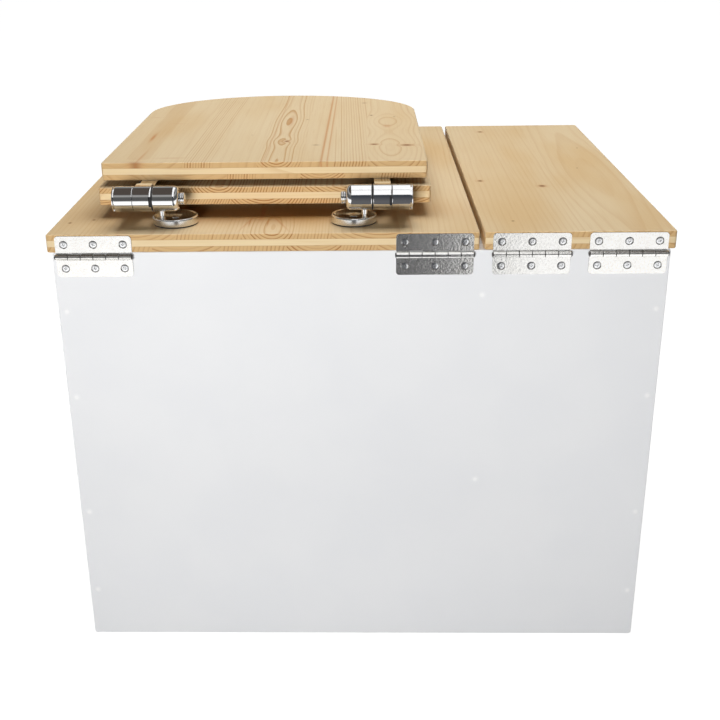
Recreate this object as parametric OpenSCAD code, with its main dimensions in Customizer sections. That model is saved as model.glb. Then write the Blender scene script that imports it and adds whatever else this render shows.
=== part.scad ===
// Composting toilet: a painted cabinet with a bucket under a hinged seat board,
// and beside it a litter compartment with a lid of its own.
// +Z is up, the front faces -Y and the hinges are at +Y.
// The origin is at the middle of the cabinet's footprint, on the floor.

/* [Cabinet] */
// Width of the cabinet over its side panels
body_w = 640; // [620:1:700]
// Depth of the cabinet over its front and rear panels
body_d = 575; // [560:1:640]
// Height of the cabinet, from the floor to the underside of the boards
body_h = 475; // [471:1:540]
// Thickness of the painted panels
panel_t = 18; // [16:1:21]
// Radius on the outer corners of the front and rear panels
panel_corner_r = 3; // [1:0.5:6]

/* [Boards] */
// Thickness of the three-ply boards on top
board_t = 19; // [18:1:21]
// Width of the litter lid; the seat board takes the rest of the width
litter_lid_w = 196; // [180:1:215]
// Gap between the seat board and the litter lid
board_gap = 5; // [3:0.5:8]
// How far the seat board stands out past the side panel
seat_overhang = 5.5; // [0:0.5:12]
// How far the litter lid stands out past the other side panel
litter_overhang = 5; // [0:0.5:12]
// How far both boards stand out past the front panel
front_overhang = 12; // [0:1:25]
// Radius on the corners of the boards, seen from above
board_corner_r = 3; // [1:0.5:8]
// Chamfer along the edges of the boards, the seat and the lid
edge_ease = 1.2; // [0.5:0.1:2.5]

/* [Butt hinges] */
// Width of a hinge leaf, along its pin
leaf_w = 80; // [76:1:84]
// Height of a hinge leaf, from the pin to its free edge
leaf_h = 22; // [21:0.5:22.5]
// Thickness of the leaf's sheet
leaf_t = 1.5; // [1.2:0.1:2]
// Radius on the free corners of a leaf
leaf_corner_r = 3.5; // [1:0.5:5]
// Outer diameter of the rolled knuckles
knuckle_d = 6.6; // [6.2:0.1:7.2]
// Diameter of the hinge pin
hinge_pin_d = 3.4; // [2.6:0.1:3.6]
// How far the pin lies below the underside of the boards
hinge_drop = 4; // [3.6:0.1:6]
// Distance between neighbouring screws of a leaf
leaf_screw_pitch = 31; // [26:1:32]
// Distance of the screws from the pin
leaf_screw_row = 12.9; // [12:0.1:14]
// From the seat board's outer edge to the middle of its outer hinge
outer_hinge_inset = 49.5; // [44:0.5:70]
// From the seat board's inner edge to the middle of its inner hinge
inner_hinge_inset = 46; // [44:1:60]

/* [Seat and lid] */
// Width of the seat
seat_w = 359; // [345:1:370]
// How far to the right of the middle between its hinges the seat was screwed on
seat_offset = 1.8; // [-3:0.1:3]
// Thickness of the three-ply seat and lid
seat_t = 19; // [18:1:21]
// From the boards' rear edge to the rear edge of the seat
seat_setback = 67; // [66:1:80]
// Length of the seat's straight sides
seat_straight = 325; // [300:1:335]
// How far the seat's rounded front bows out past its straight sides
seat_bow = 133; // [110:1:140]
// Height of the rubber buffers that carry the seat
seat_buffer_h = 14; // [13.5:0.5:16]
// Height of the rubber buffers between the seat and the lid
lid_buffer_h = 6.3; // [6:0.1:9]
// How much narrower the lid is than the seat, on each side
lid_inset = 3.5; // [0:0.5:6]
// How much further forward the lid starts than the seat
lid_setback = 8; // [6:0.5:12]
// Width of the hole in the seat
hole_w = 216; // [190:1:230]
// Length of the hole in the seat
hole_l = 286; // [260:1:310]
// From the boards' rear edge to the middle of the hole
hole_y = 302; // [290:1:310]
// How much wider the hole in the seat board is, all round
board_hole_margin = 6; // [2:0.5:12]

/* [Seat hinges] */
// Outer diameter of the hinge barrels
barrel_d = 26.5; // [26:0.5:27]
// Height of the barrels' axis above the seat board
barrel_z = 30; // [29:0.5:31]
// From the boards' rear edge to the barrels' axis
barrel_y = 30.5; // [29:0.5:34]
// From the middle between the seat hinges to the domed end of each fixed barrel
barrel_start = 87; // [82:0.5:92]
// Length of the fixed barrel
fixed_barrel_l = 28.5; // [27:0.5:30]
// Length of the barrel that turns with the lid
lid_barrel_l = 19.5; // [19:0.5:23]
// Length of the barrel that turns with the seat
seat_barrel_l = 21.5; // [20:0.5:24]
// Diameter of the base disc
disc_d = 48.5; // [44:0.5:52]
// Height of the base disc with its gasket
disc_h = 9; // [8:0.5:10]
// From the fixed barrel's domed end to the post that carries it
post_inset = 19.5; // [17:0.5:21]
// How much nearer to the other hinge the base disc's middle lies than the post
disc_side_offset = 11.5; // [9:0.5:12]
// How far in front of the post the base disc's middle lies
disc_front_offset = 14.5; // [12:0.5:15]
// Thickness of the straps that hold the seat and the lid
strap_t = 2.5; // [2:0.1:3]
// How far the lid's straps reach forward from the barrels' axis
strap_reach = 85; // [80:1:100]

/* [Bucket] */
// From the bucket's rim to the side panel
bucket_side_gap = 24.5; // [20:0.5:40]
// From the bucket's rim to the underside of the boards
bucket_top_gap = 28; // [26:1:60]
// How much further in the bucket's foot lies than its rim, all round
bucket_taper = 31; // [20:0.5:40]
// Wall of the bucket
bucket_wall = 2.4; // [2:0.1:4]
// Diameter of the wire of the bail
bail_wire_d = 5; // [4:0.5:6]
// Diameter of the grip on the bail
grip_d = 20; // [16:1:22]

/* [Fits] */
// Play all round a screw, stud or post in its hole
screw_play = 0.05; // [0.02:0.01:0.08]
// Radial play of a shaft that turns in its bore
running_play = 0.05; // [0.02:0.01:0.08]
// Gap between parts that pass each other
pass_gap = 0.3; // [0.2:0.05:0.4]

/* [Hidden] */
$fn = 48;

// Colours
white_paint = [0.93, 0.93, 0.94];
spruce = [0.87, 0.74, 0.54];
nickel = [0.72, 0.71, 0.68];
chrome = [0.80, 0.81, 0.83];
zinc = [0.62, 0.64, 0.66];
black_plastic = [0.08, 0.08, 0.09];
rubber = [0.12, 0.12, 0.12];
bucket_grey = [0.30, 0.32, 0.33];

// Planes and edges
rear_y = body_d / 2;
inner_l = body_d - 2 * panel_t;
board_top = body_h + board_t;
board_l = body_d + front_overhang;
litter_lid_x0 = -body_w / 2 - litter_overhang;
litter_lid_x1 = litter_lid_x0 + litter_lid_w;
seat_board_x0 = litter_lid_x1 + board_gap;
seat_board_x1 = body_w / 2 + seat_overhang;
pair_x = (seat_board_x0 + seat_board_x1) / 2;
seat_x = pair_x + seat_offset;
// The partition's middle lies a little to the litter lid's side of the gap
partition_shift = 2;
partition_x = litter_lid_x1 + board_gap / 2 - partition_shift;
side_x = body_w / 2 - panel_t / 2;

// Panel screws: their heights in each side panel and in the partition, the upper ones down from the top
side_screw_z = [61, 166, body_h - 165, body_h - 65];
partition_screw_z = [208, body_h - 49];
base_screw_y = [-180, 0, 180];
panel_screw_d = 4.5;
panel_screw_head_d = 9;
panel_screw_l = 48;
panel_screw_sink = 1.2;
filler_crown = 0.2;
screw_tip_d = 0.8;
// How far cuts run past a face, and how far joined shapes run into each other
cut = 1;
lap = 0.01;

// Butt hinges
axis_out = knuckle_d / 2 + pass_gap;
hinge_z = body_h - hinge_drop;
hinge_y = rear_y + axis_out;
// This share of the width that the litter lid's two leaves leave free lies beside each of them
litter_side_share = 5 / 21;
litter_side = (litter_lid_w - 2 * leaf_w) * litter_side_share;
hinge_x = [
  seat_board_x1 - outer_hinge_inset,
  seat_board_x0 + inner_hinge_inset,
  litter_lid_x1 - litter_side - leaf_w / 2,
  litter_lid_x0 + litter_side + leaf_w / 2
];
knuckle_count = 6;
knuckle_gap = 0.25;
knuckle_pitch = leaf_w / knuckle_count;
// How far the flat sheet stays from the pin's axis
sheet_start = 0.8;
pin_head_inset = 0.6;
pin_head_d = knuckle_d - 2 * pin_head_inset;
pin_head_taper = 2;
pin_head_t = 1.2;
leaf_screw_d = 4;
leaf_screw_head_d = 8;
leaf_screw_l = 15;

// Seat and lid, their heights and outlines
seat_z = board_top + seat_buffer_h;
lid_z = seat_z + seat_t + lid_buffer_h;
lid_w = seat_w - 2 * lid_inset;
lid_straight = seat_straight - lid_setback;
lid_bow = seat_bow - lid_inset;
outline_steps = 48;
rear_corner_r = 4;
corner_steps = 4;

// Seat hinges
axis_z = board_top + barrel_z;
axis_y = rear_y - barrel_y;
barrel_wall_t = 2.25;
barrel_bore_d = barrel_d - 2 * barrel_wall_t;
barrel_chamfer = 0.6;
barrel_dome_r = 6;
end_gap = 0.25;
face_gap = 0.1;
flange_t = 1.2;
flange_inset = 0.8;
lid_barrel_x = barrel_start + fixed_barrel_l;
seat_barrel_x = lid_barrel_x + lid_barrel_l;
barrel_end_x = seat_barrel_x + seat_barrel_l;
end_cap_t = 3;
end_groove = 0.8;
axle_d = 8;
axle_head_d = 13;
axle_head_l = 5.5;
axle_bead_r = 1.6;
// The axle and the damper end this far inside the seat's barrel, short of its end cap
axle_stop = 2;
damper_stop = 1;
// The notch that shows the damper, in the lid's barrel: its width, height and place above the axis
notch_w = 3.4;
notch_h = 8.5;
notch_z = -10.5;
notch_out = 2.4;
post_d = 6;
post_waist_d = 4.6;
post_waist_h = 2;
post_shoulder = 1;
post_x = barrel_start + post_inset;
post_y = barrel_y;
// How deep the post stands in the disc, and how far it goes up into the barrel
post_seat = 4;
post_reach = 6;
disc_x = post_x - disc_side_offset;
disc_y = post_y + disc_front_offset;
disc_rim_r = 1;
disc_dish = 0.6;
gasket_t = 1.2;
gasket_inset = 0.5;
stud_d = 8;
// Play of the stud in the board, to set the seat straight
stud_slack = 1;
stud_cover = 2;
nut_flats = 13;
nut_h = 6.5;
stud_tail = 3;
washer_d = 24;
washer_t = 2;
// From a barrel's ends to the sides of its strap
strap_side = 1;
strap_jog = 5;
strap_bend = 0.8;
strap_bite = 0.1;
lid_strap_top = lid_z - axis_z;
seat_strap_top = seat_z - axis_z;
strap_holds = [30, 10];
arm_screw_d = 4;
arm_screw_head_d = 7;
arm_screw_l = 15;

// Buffers: how far in from the seat's side, and how far forward of the boards' rear edge
seat_buffer_d = 22;
lid_buffer_d = 18;
seat_buffer_spots = [[30.5, 165], [36.5, 405]];
lid_buffer_spots = [[30.5, 215], [50.5, 440]];
buffer_waist = 3;
buffer_flange = 2;

// Bucket
bucket_x = seat_x;
bucket_y = rear_y - hole_y;
bucket_z = panel_t;
bucket_h = body_h - bucket_z - bucket_top_gap;
rim_r = body_w / 2 - panel_t - seat_x - bucket_side_gap;
foot_r = rim_r - bucket_taper;
rim_flange = 8;
rim_lip_h = 12;
rim_ease = 2;
foot_h = 6;
foot_ring = 8;
floor_t = 3;
rib = 3;
rib_drop = 24;
ear_drop = 26;
ear_d = 24;
// How far the ears stand out past the rim, and how far the bail's grip passes in front of it
ear_out = 6;
bail_gap = 3;
ear_x = rim_r + ear_out;
bail_x = rim_r + grip_d / 2 + bail_gap;
bail_z = bucket_z + bucket_h - ear_drop;
bail_arm = 57;
bail_corner_r = bail_x - bail_arm;
bail_pin_l = 11;
// The bail hangs until its grip meets the bucket's wall; the first guess gives the wall's radius there
bail_rest_guess = 24;
bail_rest_r = wall_r(bucket_h - ear_drop - bail_x * sin(bail_rest_guess));
bail_rest = acos((bail_rest_r + grip_d / 2 + pass_gap) / bail_x);
grip_l = 108;

// ---- shared shapes ----

// A countersunk screw, its head's face at the origin and its tip down; grow widens it to make its hole
module screw(d, head_d, length, grow = 0) {
  cone_h = (head_d - d) / 2;
  tip_h = d;
  translate([0, 0, -cone_h - grow]) cylinder(d1 = d + 2 * grow, d2 = head_d + 2 * grow, h = cone_h);
  translate([0, 0, -grow]) cylinder(d = head_d + 2 * grow, h = grow + (grow > 0 ? cut : 0));
  translate([0, 0, -length + tip_h]) cylinder(d = d + 2 * grow, h = length - tip_h - cone_h - grow + lap);
  translate([0, 0, -length - grow])
    cylinder(d1 = screw_tip_d + 2 * grow, d2 = d + 2 * grow, h = tip_h + grow);
}

// A rectangle with round corners, from corner to corner
module rounded_rect(x0, x1, y0, y1, r) {
  translate([x0 + r, y0]) square([x1 - x0 - 2 * r, y1 - y0]);
  translate([x0, y0 + r]) square([x1 - x0, y1 - y0 - 2 * r]);
  for (x = [x0 + r, x1 - r], y = [y0 + r, y1 - r]) translate([x, y]) circle(r = r, $fn = 32);
}

// A board that lies flat, with its edges eased above and below
module eased_board(x0, x1, y0, y1, z0, t, r) {
  hull() {
    translate([0, 0, z0 + edge_ease])
      linear_extrude(t - 2 * edge_ease) rounded_rect(x0, x1, y0, y1, r);
    translate([0, 0, z0]) linear_extrude(t)
      rounded_rect(x0 + edge_ease, x1 - edge_ease, y0 + edge_ease, y1 - edge_ease, r);
  }
}

// ---- cabinet ----

// Screws through the front and rear panels into the edge of a panel at x
module column_screws(x, heights, grow = 0) {
  for (end = [1, -1], z = heights)
    translate([x, end * (rear_y - panel_screw_sink), z]) rotate([-90 * end, 0, 0])
      screw(panel_screw_d, panel_screw_head_d, panel_screw_l, grow);
}

// Screws through the side panels into the edges of the base panel
module base_screws(side, grow = 0) {
  for (y = base_screw_y)
    translate([side * (body_w / 2 - panel_screw_sink), y, panel_t / 2]) rotate([0, 90 * side, 0])
      screw(panel_screw_d, panel_screw_head_d, panel_screw_l, grow);
}

// What fills the recess over each screw head of a column
module column_filler(x, heights, end, grow = 0, crown = filler_crown) {
  for (z = heights)
    translate([x, end * (rear_y - panel_screw_sink + screw_play), z]) rotate([-90 * end, 0, 0])
      cylinder(d = panel_screw_head_d + 2 * grow, h = panel_screw_sink - screw_play + crown);
}

module base_filler(side, grow = 0, crown = filler_crown) {
  x = body_w / 2 - panel_screw_sink + screw_play;
  for (y = base_screw_y)
    translate([side * x, y, panel_t / 2]) rotate([0, 90 * side, 0])
      cylinder(d = panel_screw_head_d + 2 * grow, h = panel_screw_sink - screw_play + crown);
}

// A painted end panel, at the rear (end = 1) or at the front (end = -1)
module end_panel(end) {
  difference() {
    translate([0, end * (rear_y - panel_t / 2), 0]) rotate([90, 0, 0]) translate([0, 0, -panel_t / 2])
      linear_extrude(panel_t) rounded_rect(-body_w / 2, body_w / 2, 0, body_h, panel_corner_r);
    for (x = [side_x, -side_x]) {
      column_screws(x, side_screw_z, screw_play);
      column_filler(x, side_screw_z, end, screw_play, cut);
    }
    column_screws(partition_x, partition_screw_z, screw_play);
    column_filler(partition_x, partition_screw_z, end, screw_play, cut);
    if (end > 0)
      for (i = [0:3]) leaf_screws(i, -1, screw_play);
  }
}

module rear_panel() { color(white_paint) end_panel(1); }

module front_panel() { color(white_paint) end_panel(-1); }

module side_panel(side) {
  color(white_paint) difference() {
    translate([side > 0 ? body_w / 2 - panel_t : -body_w / 2, -inner_l / 2, 0])
      cube([panel_t, inner_l, body_h]);
    column_screws(side * side_x, side_screw_z, screw_play);
    base_screws(side, screw_play);
    base_filler(side, screw_play, cut);
  }
}

module partition() {
  color(white_paint) difference() {
    translate([partition_x - panel_t / 2, -inner_l / 2, panel_t])
      cube([panel_t, inner_l, body_h - panel_t]);
    column_screws(partition_x, partition_screw_z, screw_play);
  }
}

module base_panel() {
  color(white_paint) difference() {
    translate([-body_w / 2 + panel_t, -inner_l / 2, 0])
      cube([body_w - 2 * panel_t, inner_l, panel_t]);
    for (side = [1, -1]) base_screws(side, screw_play);
  }
}

module panel_screws() {
  color(zinc) {
    for (x = [side_x, -side_x]) column_screws(x, side_screw_z);
    column_screws(partition_x, partition_screw_z);
    for (side = [1, -1]) base_screws(side);
  }
}

module screw_filler() {
  color(white_paint) {
    for (end = [1, -1]) {
      for (x = [side_x, -side_x]) column_filler(x, side_screw_z, end);
      column_filler(partition_x, partition_screw_z, end);
    }
    for (side = [1, -1]) base_filler(side);
  }
}

// ---- butt hinges: up = 1 is the leaf on the board, up = -1 the leaf on the rear panel ----

module leaf_screws(i, up, grow = 0) {
  for (k = [-1, 0, 1])
    translate([hinge_x[i] + k * leaf_screw_pitch, rear_y + leaf_t, hinge_z + up * leaf_screw_row])
      rotate([-90, 0, 0]) screw(leaf_screw_d, leaf_screw_head_d, leaf_screw_l, grow);
}

// The knuckles of one leaf, every second one along the pin, counted from the right
module knuckles(up, d, side_gap) {
  first = up > 0 ? 0 : 1;
  for (k = [first:2:knuckle_count - 1])
    translate([leaf_w / 2 - (k + 1) * knuckle_pitch + side_gap, 0, 0]) rotate([0, 90, 0])
      cylinder(d = d, h = knuckle_pitch - 2 * side_gap);
}

// The sheet of a leaf, with its two free corners round
module leaf_sheet(up) {
  mirror([0, 0, up > 0 ? 0 : 1]) translate([0, -axis_out + leaf_t, 0]) rotate([90, 0, 0])
    linear_extrude(leaf_t) difference() {
      translate([-leaf_w / 2, sheet_start]) square([leaf_w, leaf_h - sheet_start]);
      for (s = [-1, 1]) translate([s * leaf_w / 2, leaf_h]) difference() {
        square(2 * leaf_corner_r, center = true);
        translate([-s * leaf_corner_r, -leaf_corner_r]) circle(r = leaf_corner_r, $fn = 32);
      }
      // Slots that the other leaf's knuckles stand in
      first = up > 0 ? 1 : 0;
      for (k = [first:2:knuckle_count - 1])
        translate([leaf_w / 2 - (k + 1) * knuckle_pitch - knuckle_gap / 2, 0])
          square([knuckle_pitch + knuckle_gap, knuckle_d / 2 + pass_gap]);
    }
}

module hinge_leaf(i, up) {
  color(nickel) difference() {
    translate([hinge_x[i], hinge_y, hinge_z]) difference() {
      union() {
        leaf_sheet(up);
        knuckles(up, knuckle_d, knuckle_gap / 2);
      }
      translate([-leaf_w / 2 - cut, 0, 0]) rotate([0, 90, 0])
        cylinder(d = hinge_pin_d + 2 * running_play, h = leaf_w + 2 * cut);
    }
    leaf_screws(i, up, screw_play);
  }
}

module hinge_pin(i) {
  color(nickel) translate([hinge_x[i], hinge_y, hinge_z]) {
    translate([-leaf_w / 2, 0, 0]) rotate([0, 90, 0]) cylinder(d = hinge_pin_d, h = leaf_w);
    for (s = [-1, 1]) rotate([0, 90 * s, 0]) translate([0, 0, leaf_w / 2])
      cylinder(d1 = pin_head_d, d2 = pin_head_d - pin_head_taper, h = pin_head_t);
  }
}

module lower_leaf_screws() { color(zinc) for (i = [0:3]) leaf_screws(i, -1); }

module seat_board_hinge_screws() { color(zinc) for (i = [0, 1]) leaf_screws(i, 1); }

module litter_lid_hinge_screws() { color(zinc) for (i = [2, 3]) leaf_screws(i, 1); }

// ---- boards ----

// The oval of the holes, a little fuller than an ellipse
function oval(w, l, power = 2.3) = [
  for (k = [0:outline_steps - 1])
    let (a = k * 360 / outline_steps, c = cos(a), s = sin(a))
      [sign(c) * w / 2 * pow(abs(c), 2 / power), sign(s) * l / 2 * pow(abs(s), 2 / power)]
];

// The cut for a hole through a board from z0 up, its rims eased
module hole_cut(margin, z0, t) {
  w = hole_w + 2 * margin;
  l = hole_l + 2 * margin;
  translate([seat_x, rear_y - hole_y, z0]) {
    translate([0, 0, -cut]) linear_extrude(t + 2 * cut) polygon(oval(w, l));
    for (side = [0, 1]) translate([0, 0, side * t]) mirror([0, 0, side]) hull() {
      translate([0, 0, -cut]) linear_extrude(cut) polygon(oval(w + 2 * edge_ease, l + 2 * edge_ease));
      linear_extrude(edge_ease) polygon(oval(w, l));
    }
  }
}

module seat_board() {
  color(spruce) difference() {
    eased_board(seat_board_x0, seat_board_x1, rear_y - board_l, rear_y, body_h, board_t, board_corner_r);
    hole_cut(board_hole_margin, body_h, board_t);
    for (side = [1, -1])
      translate([pair_x + side * disc_x, rear_y - disc_y, body_h - cut])
        cylinder(d = stud_d + stud_slack, h = board_t + 2 * cut);
    for (i = [0, 1]) leaf_screws(i, 1, screw_play);
  }
}

module litter_lid() {
  color(spruce) difference() {
    eased_board(litter_lid_x0, litter_lid_x1, rear_y - board_l, rear_y, body_h, board_t, board_corner_r);
    for (i = [2, 3]) leaf_screws(i, 1, screw_play);
  }
}

// ---- seat and lid ----

// Points round a rear corner, then the elliptic front, as one list in order
function outline(w, straight, bow, inset = 0) = concat(
  [for (k = [0:corner_steps]) let (a = 90 - k * 90 / corner_steps)
    [w / 2 - rear_corner_r + (rear_corner_r - inset) * cos(a),
     -rear_corner_r + (rear_corner_r - inset) * sin(a)]],
  [for (k = [0:outline_steps]) let (a = k * 180 / outline_steps)
    [(w / 2 - inset) * cos(a), -straight - (bow - inset) * sin(a)]],
  [for (k = [0:corner_steps]) let (a = k * 90 / corner_steps)
    [-w / 2 + rear_corner_r - (rear_corner_r - inset) * cos(a),
     -rear_corner_r + (rear_corner_r - inset) * sin(a)]]
);

module eased_seat_shape(w, straight, bow, setback, z0) {
  translate([seat_x, rear_y - setback, z0]) hull() {
    translate([0, 0, edge_ease]) linear_extrude(seat_t - 2 * edge_ease)
      polygon(outline(w, straight, bow));
    linear_extrude(seat_t) polygon(outline(w, straight, bow, edge_ease));
  }
}

module toilet_seat() {
  color(spruce) difference() {
    eased_seat_shape(seat_w, seat_straight, seat_bow, seat_setback, seat_z);
    hole_cut(0, seat_z, seat_t);
    seat_screws(screw_play);
  }
}

module seat_lid() {
  color(spruce) difference() {
    eased_seat_shape(lid_w, lid_straight, lid_bow, seat_setback + lid_setback, lid_z);
    lid_screws(screw_play);
  }
}

// ---- seat hinges: side = 1 is the right one, side = -1 the left one ----

// Moves its children to a seat hinge, with +X away from the middle between the two
module at_seat_hinge(side) {
  translate([pair_x, axis_y, axis_z]) mirror([side > 0 ? 0 : 1, 0, 0]) children();
}

// A ring or disc round the barrels' axis, drawn as radius and distance from the middle
module turned() { rotate([0, 90, 0]) rotate_extrude($fn = 64) children(); }

// A round post or disc that stands on the seat board, beside the barrels
module on_board(x, y) {
  translate([x, barrel_y - y, -barrel_z]) children();
}

module base_disc(side) {
  color(chrome) at_seat_hinge(side) difference() {
    on_board(disc_x, disc_y) rotate_extrude($fn = 96) {
      translate([0, gasket_t]) square([disc_d / 2 - disc_rim_r, disc_h - gasket_t - disc_dish]);
      translate([0, gasket_t]) square([disc_d / 2, disc_h - gasket_t - disc_rim_r]);
      translate([disc_d / 2 - disc_rim_r, disc_h - disc_rim_r]) circle(r = disc_rim_r);
    }
    on_board(disc_x, disc_y) translate([0, 0, -cut])
      cylinder(d = stud_d + 2 * screw_play, h = disc_h - stud_cover + cut);
    on_board(post_x, post_y) translate([0, 0, disc_h - post_seat])
      cylinder(d = post_d + 2 * screw_play, h = post_seat + cut);
  }
}

module disc_gasket(side) {
  color(rubber) at_seat_hinge(side) on_board(disc_x, disc_y) difference() {
    cylinder(r = disc_d / 2 - gasket_inset, h = gasket_t);
    translate([0, 0, -cut]) cylinder(d = stud_d + stud_slack, h = gasket_t + 2 * cut);
  }
}

// The post stands in the base disc and carries the fixed barrel; it has a waist between the two
module post(side) {
  low = disc_h - post_seat + screw_play;
  waist = disc_h + post_shoulder;
  high = barrel_z - barrel_d / 2 + post_reach;
  color(chrome) at_seat_hinge(side) on_board(post_x, post_y) {
    translate([0, 0, low]) cylinder(d = post_d, h = waist - low);
    translate([0, 0, waist]) cylinder(d = post_waist_d, h = post_waist_h);
    translate([0, 0, waist + post_waist_h]) cylinder(d = post_d, h = high - waist - post_waist_h);
  }
}

module fixed_barrel(side) {
  length = fixed_barrel_l - flange_t - 2 * face_gap;
  straight_r = barrel_d / 2 - barrel_dome_r;
  color(chrome) at_seat_hinge(side) difference() {
    translate([barrel_start, 0, 0]) turned() {
      translate([0, barrel_dome_r]) square([barrel_d / 2, length - barrel_dome_r]);
      square([straight_r, length]);
      translate([straight_r, barrel_dome_r]) circle(r = barrel_dome_r);
    }
    translate([barrel_start - cut, 0, 0]) turned() square([axle_d / 2 + screw_play, length + 2 * cut]);
    on_board(post_x, post_y) translate([0, 0, barrel_z - barrel_d / 2 - cut])
      cylinder(d = post_d + 2 * screw_play, h = post_reach + cut + screw_play);
  }
}

// The axle with its small round head of two beads, which shows at the domed end
module axle(side) {
  core = axle_head_d / 2 - axle_bead_r;
  end = barrel_end_x - end_cap_t - axle_stop;
  color(chrome) at_seat_hinge(side) {
    translate([barrel_start - face_gap, 0, 0]) turned()
      square([axle_d / 2, end - barrel_start + face_gap]);
    translate([barrel_start - axle_head_l, 0, 0]) turned() {
      square([core, axle_head_l - face_gap]);
      for (x = [axle_bead_r, axle_head_l - face_gap - axle_bead_r]) translate([core, x]) intersection() {
        circle(r = axle_bead_r);
        translate([-core, -axle_bead_r]) square([core + 2 * axle_bead_r, 2 * axle_bead_r]);
      }
    }
  }
}

// The black damper body: its flange shows between the barrels, the rest is inside them
module damper(side) {
  start = lid_barrel_x - flange_t - face_gap;
  end = barrel_end_x - end_cap_t - damper_stop;
  color(black_plastic) at_seat_hinge(side) difference() {
    translate([start, 0, 0]) turned() {
      square([barrel_bore_d / 2 - running_play, end - start]);
      square([barrel_d / 2 - flange_inset, flange_t]);
    }
    translate([start - cut, 0, 0]) turned() square([axle_d / 2 + screw_play, end - start + 2 * cut]);
  }
}

// One strap: it leaves the barrel on a tangent, steps to the height of its board and runs forward.
// Heights are above the barrels' axis: z0 where the strap leaves the barrel, top its upper face further on.
module strap(z0, top, x0, width) {
  r = barrel_d / 2;
  translate([x0 + width, 0, 0]) rotate([90, 0, -90]) linear_extrude(width)
    polygon([
      [0, z0], [r, z0], [r + strap_jog, top], [strap_reach, top], [strap_reach, top - strap_t],
      [r + strap_jog - strap_bend, top - strap_t], [r - strap_bend, z0 - strap_t], [0, z0 - strap_t]
    ]);
}

module lid_arm(side) {
  length = lid_barrel_l - end_gap;
  notch_x = side > 0 ? lid_barrel_x - cut : seat_barrel_x - notch_out;
  color(chrome) difference() {
    at_seat_hinge(side) difference() {
      union() {
        translate([lid_barrel_x, 0, 0]) turned() barrel_wall(length);
        strap(barrel_d / 2 - strap_bite, lid_strap_top, lid_barrel_x + strap_side,
          lid_barrel_l - 2 * strap_side);
      }
      translate([lid_barrel_x - cut, 0, 0]) turned() square([barrel_bore_d / 2, length + 2 * cut]);
      // Notch that shows the damper, in the barrel's rear
      translate([notch_x, 0, notch_z]) cube([notch_w, barrel_d, notch_h]);
    }
    lid_screws(screw_play);
  }
}

// Half of a barrel's section, solid, with both ends chamfered
module barrel_wall(length) {
  r = barrel_d / 2;
  polygon([
    [0, 0], [r - barrel_chamfer, 0], [r, barrel_chamfer],
    [r, length - barrel_chamfer], [r - barrel_chamfer, length], [0, length]
  ]);
}

module seat_arm(side) {
  color(chrome) difference() {
    at_seat_hinge(side) difference() {
      union() {
        translate([seat_barrel_x, 0, 0]) turned() difference() {
          barrel_wall(seat_barrel_l);
          translate([barrel_d / 2 - end_groove, seat_barrel_l - end_cap_t - end_groove])
            square([end_groove + cut, end_groove]);
        }
        strap(-barrel_d / 2 + strap_t + strap_bite, seat_strap_top, seat_barrel_x + strap_side,
          seat_barrel_l - 2 * strap_side);
      }
      translate([seat_barrel_x - cut, 0, 0]) turned()
        square([barrel_bore_d / 2, seat_barrel_l - end_cap_t + cut]);
    }
    seat_screws(screw_play);
  }
}

module stud(side) {
  low = board_t + washer_t + nut_h + stud_tail;
  color(zinc) at_seat_hinge(side) on_board(disc_x, disc_y)
    translate([0, 0, -low]) cylinder(d = stud_d, h = low + disc_h - stud_cover - screw_play);
}

// The washer and nut that clamp the base disc from below
module clamp_nut(side) {
  low = board_t + washer_t + nut_h;
  color(zinc) at_seat_hinge(side) on_board(disc_x, disc_y) difference() {
    union() {
      translate([0, 0, -board_t - washer_t]) cylinder(d = washer_d, h = washer_t);
      translate([0, 0, -low]) cylinder(d = nut_flats / cos(30), h = nut_h, $fn = 6);
    }
    translate([0, 0, -low - cut])
      cylinder(d = stud_d + 2 * screw_play, h = washer_t + nut_h + 2 * cut);
  }
}

// Screws up through a pair of straps, x from the middle, their heads below at the height z
module strap_screws(x, z, grow) {
  for (side = [1, -1], hold = strap_holds)
    translate([pair_x + side * x, axis_y - strap_reach + hold, z]) rotate([180, 0, 0])
      screw(arm_screw_d, arm_screw_head_d, arm_screw_l, grow);
}

module lid_screws(grow = 0) { strap_screws(lid_barrel_x + lid_barrel_l / 2, lid_z - strap_t, grow); }

module seat_screws(grow = 0) { strap_screws(seat_barrel_x + seat_barrel_l / 2, seat_z - strap_t, grow); }

module lid_arm_screws() { color(zinc) lid_screws(); }

module seat_arm_screws() { color(zinc) seat_screws(); }

// Rubber buffers, wider where they are fixed above than where they rest below
module buffers(spots, d, h, z0) {
  r = d / 2;
  for (side = [1, -1], spot = spots)
    translate([seat_x + side * (seat_w / 2 - spot[0]), rear_y - spot[1], z0]) rotate_extrude()
      polygon([[0, 0], [r - buffer_waist, 0], [r, h - buffer_flange], [r, h], [0, h]]);
}

module seat_buffers() {
  color(rubber) buffers(seat_buffer_spots, seat_buffer_d, seat_buffer_h, board_top);
}

module lid_buffers() {
  color(rubber) buffers(lid_buffer_spots, lid_buffer_d, lid_buffer_h, seat_z + seat_t);
}

// ---- bucket ----

// Outer radius of the bucket's tapered wall at a height above its foot
function wall_r(z) = foot_r + (rim_r - rim_flange - foot_r) * z / bucket_h;

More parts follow.
